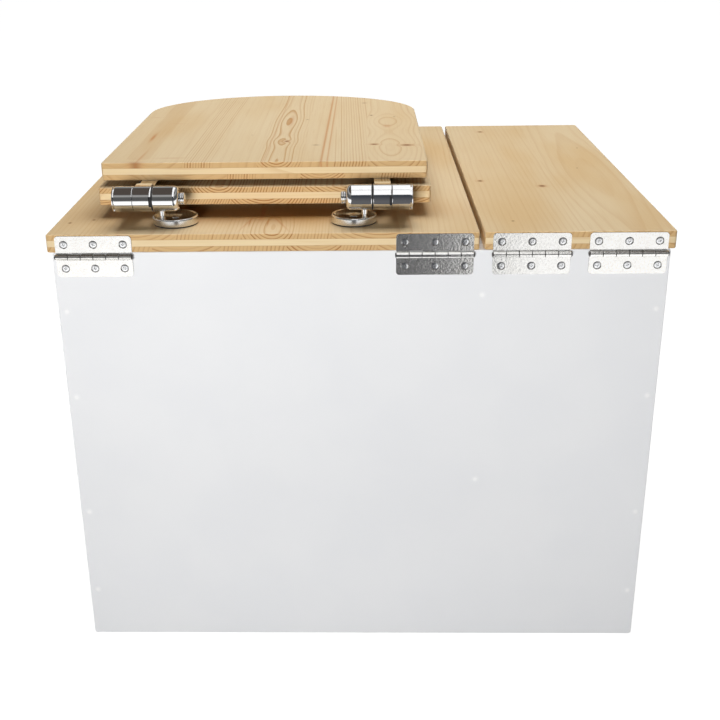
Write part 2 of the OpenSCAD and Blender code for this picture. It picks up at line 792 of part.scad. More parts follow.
// Section of the bucket: foot ring, tapered wall, a rib and a turned-over rim
module bucket_section() {
  rib_z = bucket_h - ear_drop - rib_drop;
  floor_z = foot_h - floor_t;
  polygon([
    [0, floor_z], [foot_r - foot_ring, floor_z], [foot_r - foot_ring + floor_z / 2, 0], [foot_r, 0],
    [wall_r(rib_z - rib), rib_z - rib], [wall_r(rib_z) + rib, rib_z - rib / 3],
    [wall_r(rib_z) + rib, rib_z + rib / 3], [wall_r(rib_z + rib), rib_z + rib],
    [wall_r(bucket_h - bucket_wall), bucket_h - bucket_wall],
    [rim_r - bucket_wall, bucket_h - bucket_wall], [rim_r - bucket_wall, bucket_h - rim_lip_h],
    [rim_r, bucket_h - rim_lip_h], [rim_r, bucket_h - rim_ease], [rim_r - rim_ease, bucket_h],
    [wall_r(bucket_h) - bucket_wall, bucket_h], [wall_r(foot_h) - bucket_wall, foot_h], [0, foot_h]
  ]);
}

// Moves its children to an ear, with +Z outwards from the bucket's middle
module at_ear(s) {
  translate([0, 0, bucket_h - ear_drop]) rotate([0, 90 * s, 0]) children();
}

module bucket() {
  ear_root = wall_r(bucket_h) - rim_flange;
  color(bucket_grey) translate([bucket_x, bucket_y, bucket_z]) difference() {
    union() {
      rotate_extrude($fn = 96) bucket_section();
      for (s = [1, -1]) at_ear(s) translate([0, 0, ear_root]) cylinder(d = ear_d, h = ear_x - ear_root);
    }
    // The ears stay outside the wall, and the bail's ends turn in them
    translate([0, 0, foot_h])
      cylinder(r1 = wall_r(foot_h) - bucket_wall, r2 = wall_r(bucket_h) - bucket_wall, h = bucket_h - foot_h);
    for (s = [1, -1]) at_ear(s) translate([0, 0, ear_x - bail_pin_l - cut])
      cylinder(d = bail_wire_d + 2 * running_play, h = bail_pin_l + 2 * cut);
  }
}

// Turns its children about the ears, from level down to where the bail hangs at the front
module at_bail() {
  translate([bucket_x, bucket_y, bail_z]) rotate([bail_rest, 0, 0]) children();
}

module bail_handle() {
  r = bail_wire_d / 2;
  color(zinc) at_bail() for (s = [1, -1]) mirror([s > 0 ? 0 : 1, 0, 0]) {
    // The end that turns in the ear, the arm beside the rim, a corner and half of the straight part
    translate([ear_x - bail_pin_l, 0, 0]) rotate([0, 90, 0])
      cylinder(r = r, h = bail_x - ear_x + bail_pin_l);
    translate([bail_x, 0, 0]) sphere(r = r);
    translate([bail_x, 0, 0]) rotate([90, 0, 0]) cylinder(r = r, h = bail_arm);
    translate([bail_x - bail_corner_r, -bail_arm, 0]) rotate([0, 0, -90])
      rotate_extrude(angle = 90) translate([bail_corner_r, 0]) circle(r = r);
    translate([0, -bail_x, 0]) rotate([0, 90, 0]) cylinder(r = r, h = bail_arm);
  }
}

module bail_grip() {
  color(black_plastic) at_bail() translate([0, -bail_x, 0]) rotate([0, 90, 0]) difference() {
    translate([0, 0, -grip_l / 2]) cylinder(d = grip_d, h = grip_l);
    translate([0, 0, -grip_l / 2 - cut]) cylinder(d = bail_wire_d + 2 * screw_play, h = grip_l + 2 * cut);
  }
}

// ---- what is shown ----

rear_panel();
front_panel();
side_panel(1);  // right_side_panel
side_panel(-1);  // left_side_panel
partition();
base_panel();
panel_screws();
screw_filler();
hinge_leaf(0, -1);  // hinge_1_lower_leaf
hinge_leaf(1, -1);  // hinge_2_lower_leaf
hinge_leaf(2, -1);  // hinge_3_lower_leaf
hinge_leaf(3, -1);  // hinge_4_lower_leaf
hinge_pin(0);  // hinge_1_pin
hinge_pin(1);  // hinge_2_pin
hinge_pin(2);  // hinge_3_pin
hinge_pin(3);  // hinge_4_pin
lower_leaf_screws();
seat_board();
hinge_leaf(0, 1);  // hinge_1_upper_leaf
hinge_leaf(1, 1);  // hinge_2_upper_leaf
seat_board_hinge_screws();
base_disc(1);  // right_base_disc
disc_gasket(1);  // right_disc_gasket
post(1);  // right_post
fixed_barrel(1);  // right_fixed_barrel
axle(1);  // right_axle
damper(1);  // right_damper
stud(1);  // right_stud
clamp_nut(1);  // right_clamp_nut
base_disc(-1);  // left_base_disc
disc_gasket(-1);  // left_disc_gasket
post(-1);  // left_post
fixed_barrel(-1);  // left_fixed_barrel
axle(-1);  // left_axle
damper(-1);  // left_damper
stud(-1);  // left_stud
clamp_nut(-1);  // left_clamp_nut
toilet_seat();
seat_arm(1);  // right_seat_arm
seat_arm(-1);  // left_seat_arm
seat_arm_screws();
seat_buffers();
seat_lid();
lid_arm(1);  // right_lid_arm
lid_arm(-1);  // left_lid_arm
lid_arm_screws();
lid_buffers();
litter_lid();
hinge_leaf(2, 1);  // hinge_3_upper_leaf
hinge_leaf(3, 1);  // hinge_4_upper_leaf
litter_lid_hinge_screws();
bucket();
bail_handle();
bail_grip();
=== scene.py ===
# %% [markdown]
# # A composting toilet in painted panels and three-ply spruce
#
# The object is a white cabinet with two lids of three-ply spruce. Under the wide board, which carries
# the seat, stands a bucket. Under the narrow one is loose litter. The photograph is taken from behind,
# so the four butt hinges and the two soft-close seat hinges are the parts that show best.
#
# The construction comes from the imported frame. This script keeps each piece where the frame has it, and
# gives it the rounded edges, rolled knuckles, cross recesses and finishes of the real one.

# %% Load the frame
import math

import bmesh
import bpy
from mathutils import Matrix, Vector


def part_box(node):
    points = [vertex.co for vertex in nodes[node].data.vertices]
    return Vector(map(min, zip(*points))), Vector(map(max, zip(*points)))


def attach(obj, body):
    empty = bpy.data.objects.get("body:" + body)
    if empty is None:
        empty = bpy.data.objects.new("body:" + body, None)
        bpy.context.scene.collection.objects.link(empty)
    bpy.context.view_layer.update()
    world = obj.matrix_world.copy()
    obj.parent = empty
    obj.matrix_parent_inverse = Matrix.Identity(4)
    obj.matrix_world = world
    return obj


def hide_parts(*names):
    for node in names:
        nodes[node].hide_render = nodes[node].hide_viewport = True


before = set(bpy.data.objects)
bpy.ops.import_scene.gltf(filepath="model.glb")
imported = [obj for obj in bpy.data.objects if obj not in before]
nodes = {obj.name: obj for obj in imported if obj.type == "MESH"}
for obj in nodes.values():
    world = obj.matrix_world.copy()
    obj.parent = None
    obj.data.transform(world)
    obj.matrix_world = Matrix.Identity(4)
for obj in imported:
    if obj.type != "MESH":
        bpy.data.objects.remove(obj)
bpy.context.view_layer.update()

mm = 0.001

# %% [markdown]
# ## The camera
#
# The photograph's camera was worked out from the cabinet's edges. It stands about 1.1 m behind the
# cabinet, at eye height for somebody who crouches, and looks down by 22 degrees. The photograph was
# cropped a little to one side, which the lens shift repeats.

# %% Camera
camera_place = Vector((-2.9, 1392.2, 806.4)) * mm
camera_heading = math.radians(181.71)
camera_tilt = math.radians(67.62)
camera_roll = math.radians(-0.89)
sensor_width = 36.0
photo_width = 720
focal_pixels = 1109.8
lens_middle = (331.9, 361.5)

camera = bpy.data.objects.new("camera", bpy.data.cameras.new("camera"))
bpy.context.scene.collection.objects.link(camera)
bpy.context.scene.camera = camera
turn = Matrix.Rotation(camera_heading, 4, "Z") @ Matrix.Rotation(camera_tilt, 4, "X")
camera.matrix_world = Matrix.Translation(camera_place) @ turn @ Matrix.Rotation(camera_roll, 4, "Z")
camera.data.sensor_width = sensor_width
camera.data.lens = focal_pixels / photo_width * sensor_width
camera.data.shift_x = 0.5 - lens_middle[0] / photo_width
camera.data.shift_y = lens_middle[1] / photo_width - 0.5
camera.data.clip_end = 200
print("camera: lens", round(camera.data.lens, 2), "mm, at", camera_place)

# %% [markdown]
# ## Shader maths
#
# A pattern such as growth rings is a formula, and reads best as one. `Value` wraps a socket that carries
# a number. Its operators add Math nodes, so `1 - mask * 0.5` builds a small piece of the node tree. Every
# other node comes from `Shade.node`, which sets the node's own settings first and then its sockets.

# %% A socket that can be used in a formula


class Value:
    """A socket that carries a number. Arithmetic on it adds Math nodes."""

    def __init__(self, shade, socket):
        self.shade = shade
        self.socket = socket

    def other(self, name):
        """Another output of the same node."""
        return Value(self.shade, self.socket.node.outputs[name])

    def __add__(self, other):
        return self.shade.math("ADD", self, other)

    def __sub__(self, other):
        return self.shade.math("SUBTRACT", self, other)

    def __rsub__(self, other):
        return self.shade.math("SUBTRACT", other, self)

    def __mul__(self, other):
        return self.shade.math("MULTIPLY", self, other)

    def __truediv__(self, other):
        return self.shade.math("DIVIDE", self, other)

    def __gt__(self, other):
        return self.shade.math("GREATER_THAN", self, other)

    def __lt__(self, other):
        return self.shade.math("LESS_THAN", self, other)

    __radd__ = __add__
    __rmul__ = __mul__


# %% A node tree with short ways to add to it


class Shade:
    """The nodes of one material, or of the world."""

    def __init__(self, owner):
        owner.use_nodes = True
        self.tree = owner.node_tree

    def node(self, kind, settings=None, inputs=None, output=0):
        """Adds one node. Settings are set first, then its inputs; the answer is one of its outputs."""
        made = self.tree.nodes.new(kind)
        for key, value in (settings or {}).items():
            setattr(made, key, value)
        for key, value in (inputs or {}).items():
            if isinstance(value, Value):
                self.tree.links.new(value.socket, made.inputs[key])
            else:
                made.inputs[key].default_value = value
        return Value(self, made.outputs[output])

    def math(self, operation, *numbers):
        return self.node("ShaderNodeMath", {"operation": operation}, dict(enumerate(numbers)))

    def smooth(self, number, low, high):
        """0 at low, 1 at high, and a soft step between."""
        ends = {"Value": number, "From Min": low, "From Max": high}
        return self.node("ShaderNodeMapRange", {"interpolation_type": "SMOOTHSTEP"}, ends)

    def vector(self, x, y, z):
        return self.node("ShaderNodeCombineXYZ", None, {"X": x, "Y": y, "Z": z})

    def noise(self, place, scale=1.0, detail=2.0):
        """Cloudy noise about 0.5 whose lumps are one unit across at scale 1."""
        return self.node("ShaderNodeTexNoise", None, {"Vector": place, "Scale": scale, "Detail": detail})

    def mix(self, factor, first, second):
        """From the first colour at 0 to the second at 1."""
        colours = {0: factor, 6: first, 7: second}
        return self.node("ShaderNodeMix", {"data_type": "RGBA"}, colours, output=2)

    def places(self):
        """The three object coordinates, in millimetres."""
        place = self.node("ShaderNodeTexCoord", output="Object")
        axes = self.node("ShaderNodeSeparateXYZ", None, {"Vector": place})
        return axes * 1000, axes.other("Y") * 1000, axes.other("Z") * 1000

    def facing(self):
        """How squarely a face looks along each axis, from 0 to 1."""
        normal = self.node("ShaderNodeTexCoord", output="Normal")
        axes = self.node("ShaderNodeSeparateXYZ", None, {"Vector": normal})
        return [self.math("ABSOLUTE", axes.other(name)) for name in "XYZ"]

    def relief(self, height, depth):
        """A Bump for the Normal socket; depth is how high a height of 1 stands, in metres."""
        return self.node("ShaderNodeBump", None, {"Height": height, "Distance": depth})


def choose(mask, first, second):
    """The second number where the mask is 1, the first where it is 0."""
    return first + mask * (second - first)


def colour(red, green, blue):
    return (red, green, blue, 1.0)


print("shader helpers are ready")

# %% Finishes with one principled shader


def finish(name, constants, build):
    """A material. build gets its Shade and answers what varies: a dict of socket name to Value."""
    material = bpy.data.materials.new(name)
    shade = Shade(material)
    principled = shade.tree.nodes["Principled BSDF"]
    for key, value in constants.items():
        principled.inputs[key].default_value = value
    for key, value in build(shade).items():
        shade.tree.links.new(value.socket, principled.inputs[key])
    print("finish", name, "has", len(shade.tree.nodes), "nodes")
    return material


# %% [markdown]
# ## The studio
#
# The object stands on a plain white floor, which fills the frame from the photograph's place. From low
# views elsewhere the grey wall of the room shows above the floor's edge. The floor glows for the camera,
# and in metal, so that it looks white and still takes the object's shadow. One soft lamp hangs overhead
# and lights the boards. One stands low behind the camera, which lights the painted panel and the edges,
# and leaves the gaps between the boards dark.

# %% Floor
floor_half = 60.0
floor_paint = 0.35
floor_glow = 0.90
floor_shine = 1.06
far_shine = 0.13


def only_verts(geom):
    """The vertices among what an operator answers."""
    return [part for part in geom if isinstance(part, bmesh.types.BMVert)]


def put_on_stage(name, shape, material):
    mesh = bpy.data.meshes.new(name)
    shape.to_mesh(mesh)
    shape.free()
    made = bpy.data.objects.new(name, mesh)
    bpy.context.scene.collection.objects.link(made)
    mesh.materials.append(material)
    return made


def white_floor():
    """Diffuse white, and a glow that only the camera and reflections see. Close to the object the glow is
    a little less than white, so its shadow shows. In reflections the floor ends in a grey far wall."""
    material = bpy.data.materials.new("floor_white")
    shade = Shade(material)
    shade.tree.nodes.clear()
    x, y, z = shade.places()
    away = shade.math("SQRT", x * x + y * y) / 1000
    white = shade.smooth(away, 1.0, 2.4) * (1 - floor_glow) + floor_glow
    mirrored = shade.smooth(y / 1000, 3.2, 4.8) * (far_shine - floor_shine) + floor_shine
    path = shade.node("ShaderNodeLightPath", output="Is Camera Ray")
    strength = path * white + path.other("Is Glossy Ray") * mirrored
    paint = colour(floor_paint, floor_paint, floor_paint)
    diffuse = shade.node("ShaderNodeBsdfDiffuse", None, {"Color": paint})
    glow = shade.node("ShaderNodeEmission", None, {"Strength": strength})
    both = shade.node("ShaderNodeAddShader", None, {0: diffuse, 1: glow})
    output = shade.tree.nodes.new("ShaderNodeOutputMaterial")
    shade.tree.links.new(both.socket, output.inputs["Surface"])
    return material


shape = bmesh.new()
bmesh.ops.create_grid(shape, x_segments=1, y_segments=1, size=floor_half)
floor = put_on_stage("floor", shape, white_floor())
print("floor:", 2 * floor_half, "m square")

# %% Room
room_fill = 0.01
wall_tone = colour(0.105, 0.105, 0.103)
window_band = colour(0.36, 0.355, 0.345)
ceiling_tone = colour(0.085, 0.070, 0.060)

bpy.context.scene.view_settings.view_transform = "Standard"
world = bpy.data.worlds.new("room")
bpy.context.scene.world = world
shade = Shade(world)
shade.tree.nodes.clear()
axes = shade.node("ShaderNodeSeparateXYZ", None, {"Vector": shade.node("ShaderNodeTexCoord")})
upward = axes.other("Z")
band = shade.smooth(upward, 0.38, 0.60) * (1 - shade.smooth(upward, 0.66, 0.78))
mirrored = shade.mix(band, wall_tone, window_band)
mirrored = shade.mix(shade.smooth(upward, 0.70, 0.82), mirrored, ceiling_tone)
path = shade.node("ShaderNodeLightPath", output="Is Camera Ray")
tone = shade.mix(path.other("Is Glossy Ray"), colour(room_fill, room_fill, room_fill), mirrored)
room = shade.node("ShaderNodeBackground", None, {"Color": tone, "Strength": 1.0})
white = shade.node("ShaderNodeBackground", None, {"Strength": 1.0})
both = shade.node("ShaderNodeMixShader", None, {0: path, 1: room, 2: white})
output = shade.tree.nodes.new("ShaderNodeOutputWorld")
shade.tree.links.new(both.socket, output.inputs["Surface"])
print("room: fill", room_fill)

# %% Soft lamps


def soft_lamp(name, place, aim, width, power, spread=180):
    """A square soft lamp. Metal mirrors the cards below instead of it."""
    lamp = bpy.data.lights.new(name, "AREA")
    lamp.shape = "SQUARE"
    lamp.size = width
    lamp.energy = power
    lamp.spread = math.radians(spread)
    made = bpy.data.objects.new(name, lamp)
    bpy.context.scene.collection.objects.link(made)
    made.location = place
    made.rotation_euler = (Vector(aim) - Vector(place)).to_track_quat("-Z", "Y").to_euler()
    made.visible_glossy = False
    print(name, power, "W at", place)


soft_lamp("low_softbox", (0.40, 2.40, 0.68), (0.05, 0.28, 0.74), 0.6, 18.4, 118)
soft_lamp("overhead_softbox", (-0.10, -0.30, 2.10), (0.0, 0.05, 0.50), 1.6, 33.5)

# %% [markdown]
# ## What the metal mirrors
#
# Polished metal shows the room and not the lamp's light, so a photographer sets cards round it. A long
# white card hangs above, which the seat hinge to the photograph's right mirrors and the left one misses.
# A slit between its halves draws a fine line. A dark card stands under the camera, where a person would,
# and a small grey one lies beside it. Only reflections see these cards.

# %% Cards


def card(name, sides, path_points, low_tone, high_tone=None):
    """A strip of card that follows points of (y, z), between two places across. Its tone may change with
    height, from low_tone at the floor to high_tone a metre above it."""
    material = bpy.data.materials.new(name)
    shade = Shade(material)
    shade.tree.nodes.clear()
    height = shade.places()[2] / 1000
    tone = shade.mix(height, colour(*low_tone), colour(*(high_tone or low_tone)))
    glow = shade.node("ShaderNodeEmission", None, {"Color": tone, "Strength": 1.0})
    output = shade.tree.nodes.new("ShaderNodeOutputMaterial")
    shade.tree.links.new(glow.socket, output.inputs["Surface"])
    shape = bmesh.new()
    points = [shape.verts.new((sides[0], y, z)) for y, z in path_points]
    edges = [shape.edges.new(pair) for pair in zip(points, points[1:])]
    grown = bmesh.ops.extrude_edge_only(shape, edges=edges)["geom"]
    bmesh.ops.translate(shape, verts=only_verts(grown), vec=(sides[1] - sides[0], 0, 0))
    made = put_on_stage(name, shape, material)
    made.visible_camera = False
    made.visible_diffuse = False
    made.visible_transmission = False
    made.visible_shadow = False


white_tone = (1.15, 1.15, 1.15)
overhead = (-0.56, 0.25)
card("white_card_rear", overhead, [(1.88, 1.13), (1.75, 1.55), (1.2, 2.1), (0.60, 2.1)], white_tone)
card("white_card_front", overhead, [(0.54, 2.1), (-1.6, 2.1)], white_tone)
card("dark_card", (-0.247, 0.22), [(0.50, 0.01), (1.40, 0.01), (1.40, 1.24)],
     (0.125, 0.125, 0.130), (0.045, 0.051, 0.063))
card("grey_card", (0.27, 0.62), [(0.50, 0.01), (0.80, 0.01)], (0.30, 0.26, 0.20))
print("four cards")

# %% [markdown]
# ## Making pieces
#
# Every piece is drawn in millimetres in the object's own frame, with bmesh operators, and scaled to
# metres once at the end. Its object then sits at the origin with its place in its mesh, as the frame's
# own nodes do. `put` also says what the piece rides on, which nodes it stands for and its finish.

# %% From a bmesh to a piece
smooth_below = math.radians(32)
lie_along_x = Matrix.Rotation(math.pi / 2, 3, "Y")


def corners(node):
    """A node's lowest and highest corner, in millimetres."""
    low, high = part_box(node)
    return low / mm, high / mm


def put(name, shape, body, material, stands_for):
    """Finishes a bmesh drawn in millimetres and hands it over as a piece."""
    bmesh.ops.remove_doubles(shape, verts=shape.verts, dist=0.0005)
    bmesh.ops.dissolve_degenerate(shape, edges=shape.edges, dist=0.0005)
    bmesh.ops.recalc_face_normals(shape, faces=shape.faces)
    bmesh.ops.scale(shape, vec=Vector((mm, mm, mm)), verts=shape.verts)
    for edge in shape.edges:
        edge.smooth = len(edge.link_faces) == 2 and edge.calc_face_angle() < smooth_below
    mesh = bpy.data.meshes.new(name)
    shape.to_mesh(mesh)
    shape.free()
    made = bpy.data.objects.new(name, mesh)
    bpy.context.scene.collection.objects.link(made)
    mesh.materials.append(material)
    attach(made, body)
    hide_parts(*stands_for)
    return made


def shade_smooth(faces):
    for face in faces:
        face.smooth = True


def move(shape, vec, verts=None):
    bmesh.ops.translate(shape, verts=shape.verts if verts is None else verts, vec=vec)


def turn_by(shape, matrix, verts=None):
    """Turns about the drawing's origin."""
    bmesh.ops.rotate(shape, verts=shape.verts if verts is None else verts, cent=(0, 0, 0), matrix=matrix)


def spin(shape, geom, angle, steps, axis=(0, 0, 1), centre=(0, 0, 0), merge=False):
    """Sweeps geometry round an axis and answers the last copy."""
    return bmesh.ops.spin(
        shape, geom=geom, cent=centre, axis=axis, dvec=(0, 0, 0), angle=angle, steps=steps,
        use_merge=merge, use_duplicate=False,
    )["geom_last"]


def round_off(shape, verts, radius):
    """Rounds the corners of a flat face and leaves only its edges."""
    bmesh.ops.bevel(
        shape, geom=verts, offset=radius, offset_type="OFFSET", segments=6, profile=0.5,
        affect="VERTICES", material=-1,
    )
    bmesh.ops.delete(shape, geom=list(shape.faces), context="FACES_ONLY")


def soften(shape, edges, width, segments=3):
    """Rounds edges over. Only the round faces are shaded smooth, so that the flat ones stay flat."""
    rounded = bmesh.ops.bevel(
        shape, geom=edges, offset=width, offset_type="OFFSET", segments=segments, profile=0.5,
        affect="EDGES", clamp_overlap=True, material=-1, loop_slide=False,
    )
    shade_smooth(rounded["faces"])


def sharp_edges(shape, least=40):
    limit = math.radians(least)
    return [e for e in shape.edges if len(e.link_faces) == 2 and e.calc_face_angle() > limit]


def thicken(shape, faces, depth):
    """Extrudes flat faces along depth, a vector."""
    grown = bmesh.ops.extrude_face_region(shape, geom=faces, use_keep_orig=True)
    move(shape, Vector(depth), only_verts(grown["geom"]))
    bmesh.ops.recalc_face_normals(shape, faces=shape.faces)


def block(shape, low, high):
    """A box between two corners."""
    made = bmesh.ops.create_cube(shape, size=1.0)["verts"]
    bmesh.ops.scale(shape, vec=high - low, verts=made)
    move(shape, (low + high) / 2, made)


def with_holds(profile):
    """Adds a point close to each end of every long straight, so that smooth shading can't bend across it."""
    held = [profile[0]]
    for start, end in zip(profile, profile[1:]):
        start, end = Vector(start), Vector(end)
        if (end - start).length > 2.5:
            step = (end - start).normalized() * 0.3
            held += [tuple(start + step), tuple(end - step)]
        held.append(tuple(end))
    return held


def lathe(shape, profile, steps=96):
    """Spins points of (radius, height) about Z. The profile is a closed section or starts and ends at 0."""
    profile = with_holds(profile)
    verts = [shape.verts.new((radius, 0.0, height)) for radius, height in profile]
    pairs = list(zip(verts, verts[1:]))
    if profile[0][0] > 0:
        pairs.append((verts[-1], verts[0]))
    edges = [shape.edges.new(pair) for pair in pairs]
    before = set(shape.verts) - set(verts)
    spin(shape, verts + edges, math.tau, steps, merge=True)
    made = [v for v in shape.verts if v not in before]
    bmesh.ops.remove_doubles(shape, verts=made, dist=0.0005)
    made = [v for v in shape.verts if v not in before]
    shade_smooth({face for v in made for face in v.link_faces})
    return made


print("piece helpers are ready")

# %% [markdown]
# ## White paint
#
# The panels are painted with a small foam roller, which leaves a very fine orange-peel. It shows only as
# a slight unevenness in the sheen, for which a bump of a few hundredths of a millimetre is enough. The
# paint over a filled screw head is drawn paler on the crown, a painted highlight, and darker round the
# foot, a painted shade.

# %% Paint on the panels
paint_colour = colour(0.87, 0.875, 0.885)
paint_cloud = colour(0.85, 0.857, 0.872)
# painted highlight for the fillers' crowns, and painted shade round their feet
painted_crown_highlight = colour(0.97, 0.97, 0.97)
painted_foot_shade = colour(0.40, 0.40, 0.40)
foot_shade_share = 0.55
peel_size = 1.6
peel_depth = 0.00003


def roller_paint(shade):
    x, y, z = shade.places()
    place = shade.vector(x, y, z)
    peel = shade.noise(place, 1 / peel_size, 2.0)
    cloud = shade.noise(place, 1 / 90, 2.0)
    tone = shade.mix(shade.smooth(cloud, 0.3, 0.7), paint_colour, paint_cloud)
    return {
        "Base Color": tone,
        "Roughness": peel * 0.12 + 0.36,
        "Normal": shade.relief(peel, peel_depth),
    }


def paint_over_filler(shade):
    """The same paint, with a painted highlight on the filler's crown and a painted shade round its foot."""
    look = roller_paint(shade)
    flat = shade.math("MAXIMUM", shade.facing()[0], shade.facing()[1])
    # painted highlight on the crown, painted shade round the foot
    crown = shade.mix(shade.smooth(flat, 0.985, 0.999), look["Base Color"], painted_crown_highlight)
    foot = foot_shade_share - shade.smooth(flat, 0.90, 0.985) * foot_shade_share
    look["Base Color"] = shade.mix(foot, crown, painted_foot_shade)
    return look


white_paint = finish("white_paint", {"IOR": 1.48}, roller_paint)
filler_paint = finish("white_paint_over_filler", {"IOR": 1.48}, paint_over_filler)

# %% [markdown]
# ## Three-ply spruce
#
# A three-ply board is glued from two outer plies whose grain runs from front to back and a middle ply
# whose grain runs across. Each outer ply is itself made of staves that were sawn side by side. A picture
# of wood could be wrapped on, but then the rings on an edge wouldn't meet those on the face. Here the
# wood is solid. Each stave is a slice of a round log, so its rings are the distance from the log's
# middle, and top, edge and end all cut the same rings.

# %% Wood: its colours
early_wood = colour(0.715, 0.545, 0.325)
late_wood = colour(0.530, 0.290, 0.110)
warm_wood = colour(0.665, 0.450, 0.215)
pale_wood = colour(0.750, 0.600, 0.385)
end_early = colour(0.640, 0.430, 0.210)
end_late = colour(0.400, 0.190, 0.065)
cross_wood = colour(0.800, 0.635, 0.390)
glue_line = colour(0.420, 0.240, 0.100)
knot_brown = colour(0.230, 0.090, 0.030)
resin_red = colour(0.520, 0.210, 0.070)
# painted shadow: the orange of the seat's shadow, laid into the seat board's colour
painted_seat_shadow = colour(0.500, 0.230, 0.050)
board_plies = (6, 7, 6)

# %% Wood: a stave, and a mark on a face


class Stave:
    """A slice of a log. end is where it meets the next stave. The log's middle runs along at the place
    pith and at a depth below the face, and drift is how far it wanders sideways for each mm of length.
    Each dip (place, length, rise) brings it nearer to the face there, which draws closed loops."""

    def __init__(self, end, pith, depth, drift=0.0, spacing=3.0, strength=0.5, wave=2.0, dips=(), tone=0.0):
        self.end = end
        self.pith = pith
        self.depth = depth
        self.drift = drift
        self.spacing = spacing
        self.strength = strength
        self.wave = wave
        self.dips = dips
        self.tone = tone


class Mark:
    """A knot, a streak or a patch of painted shadow: its middle, its half width across and along the grain,
    its lean, how dark it is, its colour, and how far it pushes the rings aside."""

    def __init__(self, x, y, across, along, lean=0.0, depth=1.0, tint=None, bend=0.0):
        self.place = (x, y)
        self.size = (across, along)
        self.lean = lean
        self.depth = depth
        self.tint = tint or knot_brown
        self.bend = bend

    def grown(self, wider, longer):
        return Mark(*self.place, self.size[0] * wider, self.size[1] * longer, self.lean)


def bell(shade, distance):
    """1 at a distance of 0, falling away smoothly on both sides."""
    return shade.math("EXPONENT", distance * distance * -1)


def nearness(shade, mark, x, y):
    """1 in the middle of a mark and 0 away from it."""
    side = (x - mark.place[0] - (y - mark.place[1]) * mark.lean) / mark.size[0]
    far = (y - mark.place[1]) / mark.size[1]
    return shade.math("EXPONENT", (side * side + far * far) * -1)


# %% Wood: the rings of a row of staves


def rings(shade, staves, along, across, below, push, seed):
    """How dark the late wood is, 0 to 1, and the staves' own tone. push bends the rings round knots."""
    warp = shade.noise(shade.vector(across * 0.010, along * 0.0028, below * 0.02 + seed), 1.0, 2.0)
    count, strength, tone = None, None, None
    for number, stave in enumerate(staves):
        side = across - along * stave.drift - stave.pith + (warp - 0.5) * (stave.wave * 6)
        deep = below + stave.depth
        for place, length, rise in stave.dips:
            deep = deep - bell(shade, (along - place) / length) * rise
        distance = shade.math("SQRT", side * side + deep * deep)
        rounds = (distance + push) / stave.spacing + number * 31.7
        if count is None:
            count, strength, tone = rounds, stave.strength, stave.tone
        else:
            beyond = across > staves[number - 1].end
            count = choose(beyond, count, rounds)
            strength = choose(beyond, strength, stave.strength)
            tone = choose(beyond, tone, stave.tone)
    whole = shade.math("FLOOR", count)
    part = count - whole
    year = shade.noise(shade.vector(whole * 7.31, seed, 0.0), 1.0, 0.0)
    dark = shade.smooth(part, 0.30, 0.90) * (1 - shade.smooth(part, 0.93, 1.0))
    return dark * dark * strength * (shade.smooth(year, 0.25, 0.70) * 1.1 + 0.25), tone


print("wood helpers are ready")

# %% Wood: a finish for one board


def spruce(name, board, staves, marks=(), seed=0.0):
    """Three-ply spruce for the board between two corners in millimetres."""
    low, high = board
    ply = (high.z - low.z) * board_plies[0] / sum(board_plies)

    def build(shade):
        x, y, z = shade.places()
        facing_x, facing_y, _ = shade.facing()
        lower = z < low.z + ply
        outer_top = z > high.z - ply
        middle = 1 - lower - outer_top
        push = 0.0
        for mark in marks:
            if mark.bend:
                push = nearness(shade, mark.grown(2.6, 2.4), x, y) * mark.bend + push
        outer_rings, stave_tone = rings(shade, staves, y, x + lower * 47, high.z - z, push, seed)
        cross = [Stave(0, low.y - 60, 60, 0.0, 2.6, 0.6, 3.0)]
        inner_rings, _ = rings(shade, cross, x, y, high.z - z, 0.0, seed + 5)

        fibre = shade.noise(shade.vector(x * 1.1, y * 0.016, z * 1.1), 1.0, 3.0)
        cross_fibre = shade.noise(shade.vector(x * 0.016, y * 1.1, z * 1.1), 1.0, 3.0)
        cloud = shade.noise(shade.vector(x * 0.014, y * 0.004, seed), 1.0, 2.0)
        speck = shade.noise(shade.vector(x * 0.8, y * 0.10, z * 0.8 + seed), 1.0, 1.0)

        long = shade.mix(shade.smooth(cloud + stave_tone, 0.30, 0.75), pale_wood, early_wood)
        long = shade.mix(shade.smooth(cloud + stave_tone, 0.55, 0.90) * 0.6, long, warm_wood)
        long = shade.mix(outer_rings, long, late_wood)
        long = shade.mix(shade.smooth(fibre, 0.48, 0.75) * 0.14, long, late_wood)
        long = shade.mix(shade.smooth(speck, 0.76, 0.84) * 0.35, long, late_wood)
        ends = shade.mix(shade.math("MINIMUM", outer_rings * 2.2, 1.0), end_early, end_late)
        outer = shade.mix(shade.smooth(facing_y, 0.5, 0.9), long, ends)

        inner = shade.mix(inner_rings * 0.30, cross_wood, late_wood)
        inner = shade.mix(shade.smooth(cross_fibre, 0.5, 0.75) * 0.16, inner, late_wood)
        side_ends = shade.mix(inner_rings, end_early, end_late)
        inner = shade.mix(shade.smooth(facing_x, 0.5, 0.9), inner, side_ends)

        tone = shade.mix(middle, outer, inner)
        for joint in (low.z + ply, high.z - ply):
            near = 1 - shade.smooth(shade.math("ABSOLUTE", z - joint), 0.1, 0.35)
            tone = shade.mix(near * 0.45, tone, glue_line)
        for mark in marks:
            if mark.bend:
                halo = nearness(shade, mark.grown(1.9, 1.9), x, y) * 0.45 * outer_top
                tone = shade.mix(halo, tone, resin_red)
            strength = shade.math("MINIMUM", nearness(shade, mark, x, y) * (mark.depth * 1.2), mark.depth)
            tone = shade.mix(strength * outer_top, tone, mark.tint)
        return {
            "Base Color": tone,
            "Roughness": 0.48 - outer_rings * 0.10 + fibre * 0.08,
            "Normal": shade.relief(fibre * 0.6 + outer_rings * 0.4, 0.00005),
        }

    return finish(name, {"IOR": 1.45, "Specular IOR Level": 0.2}, build)
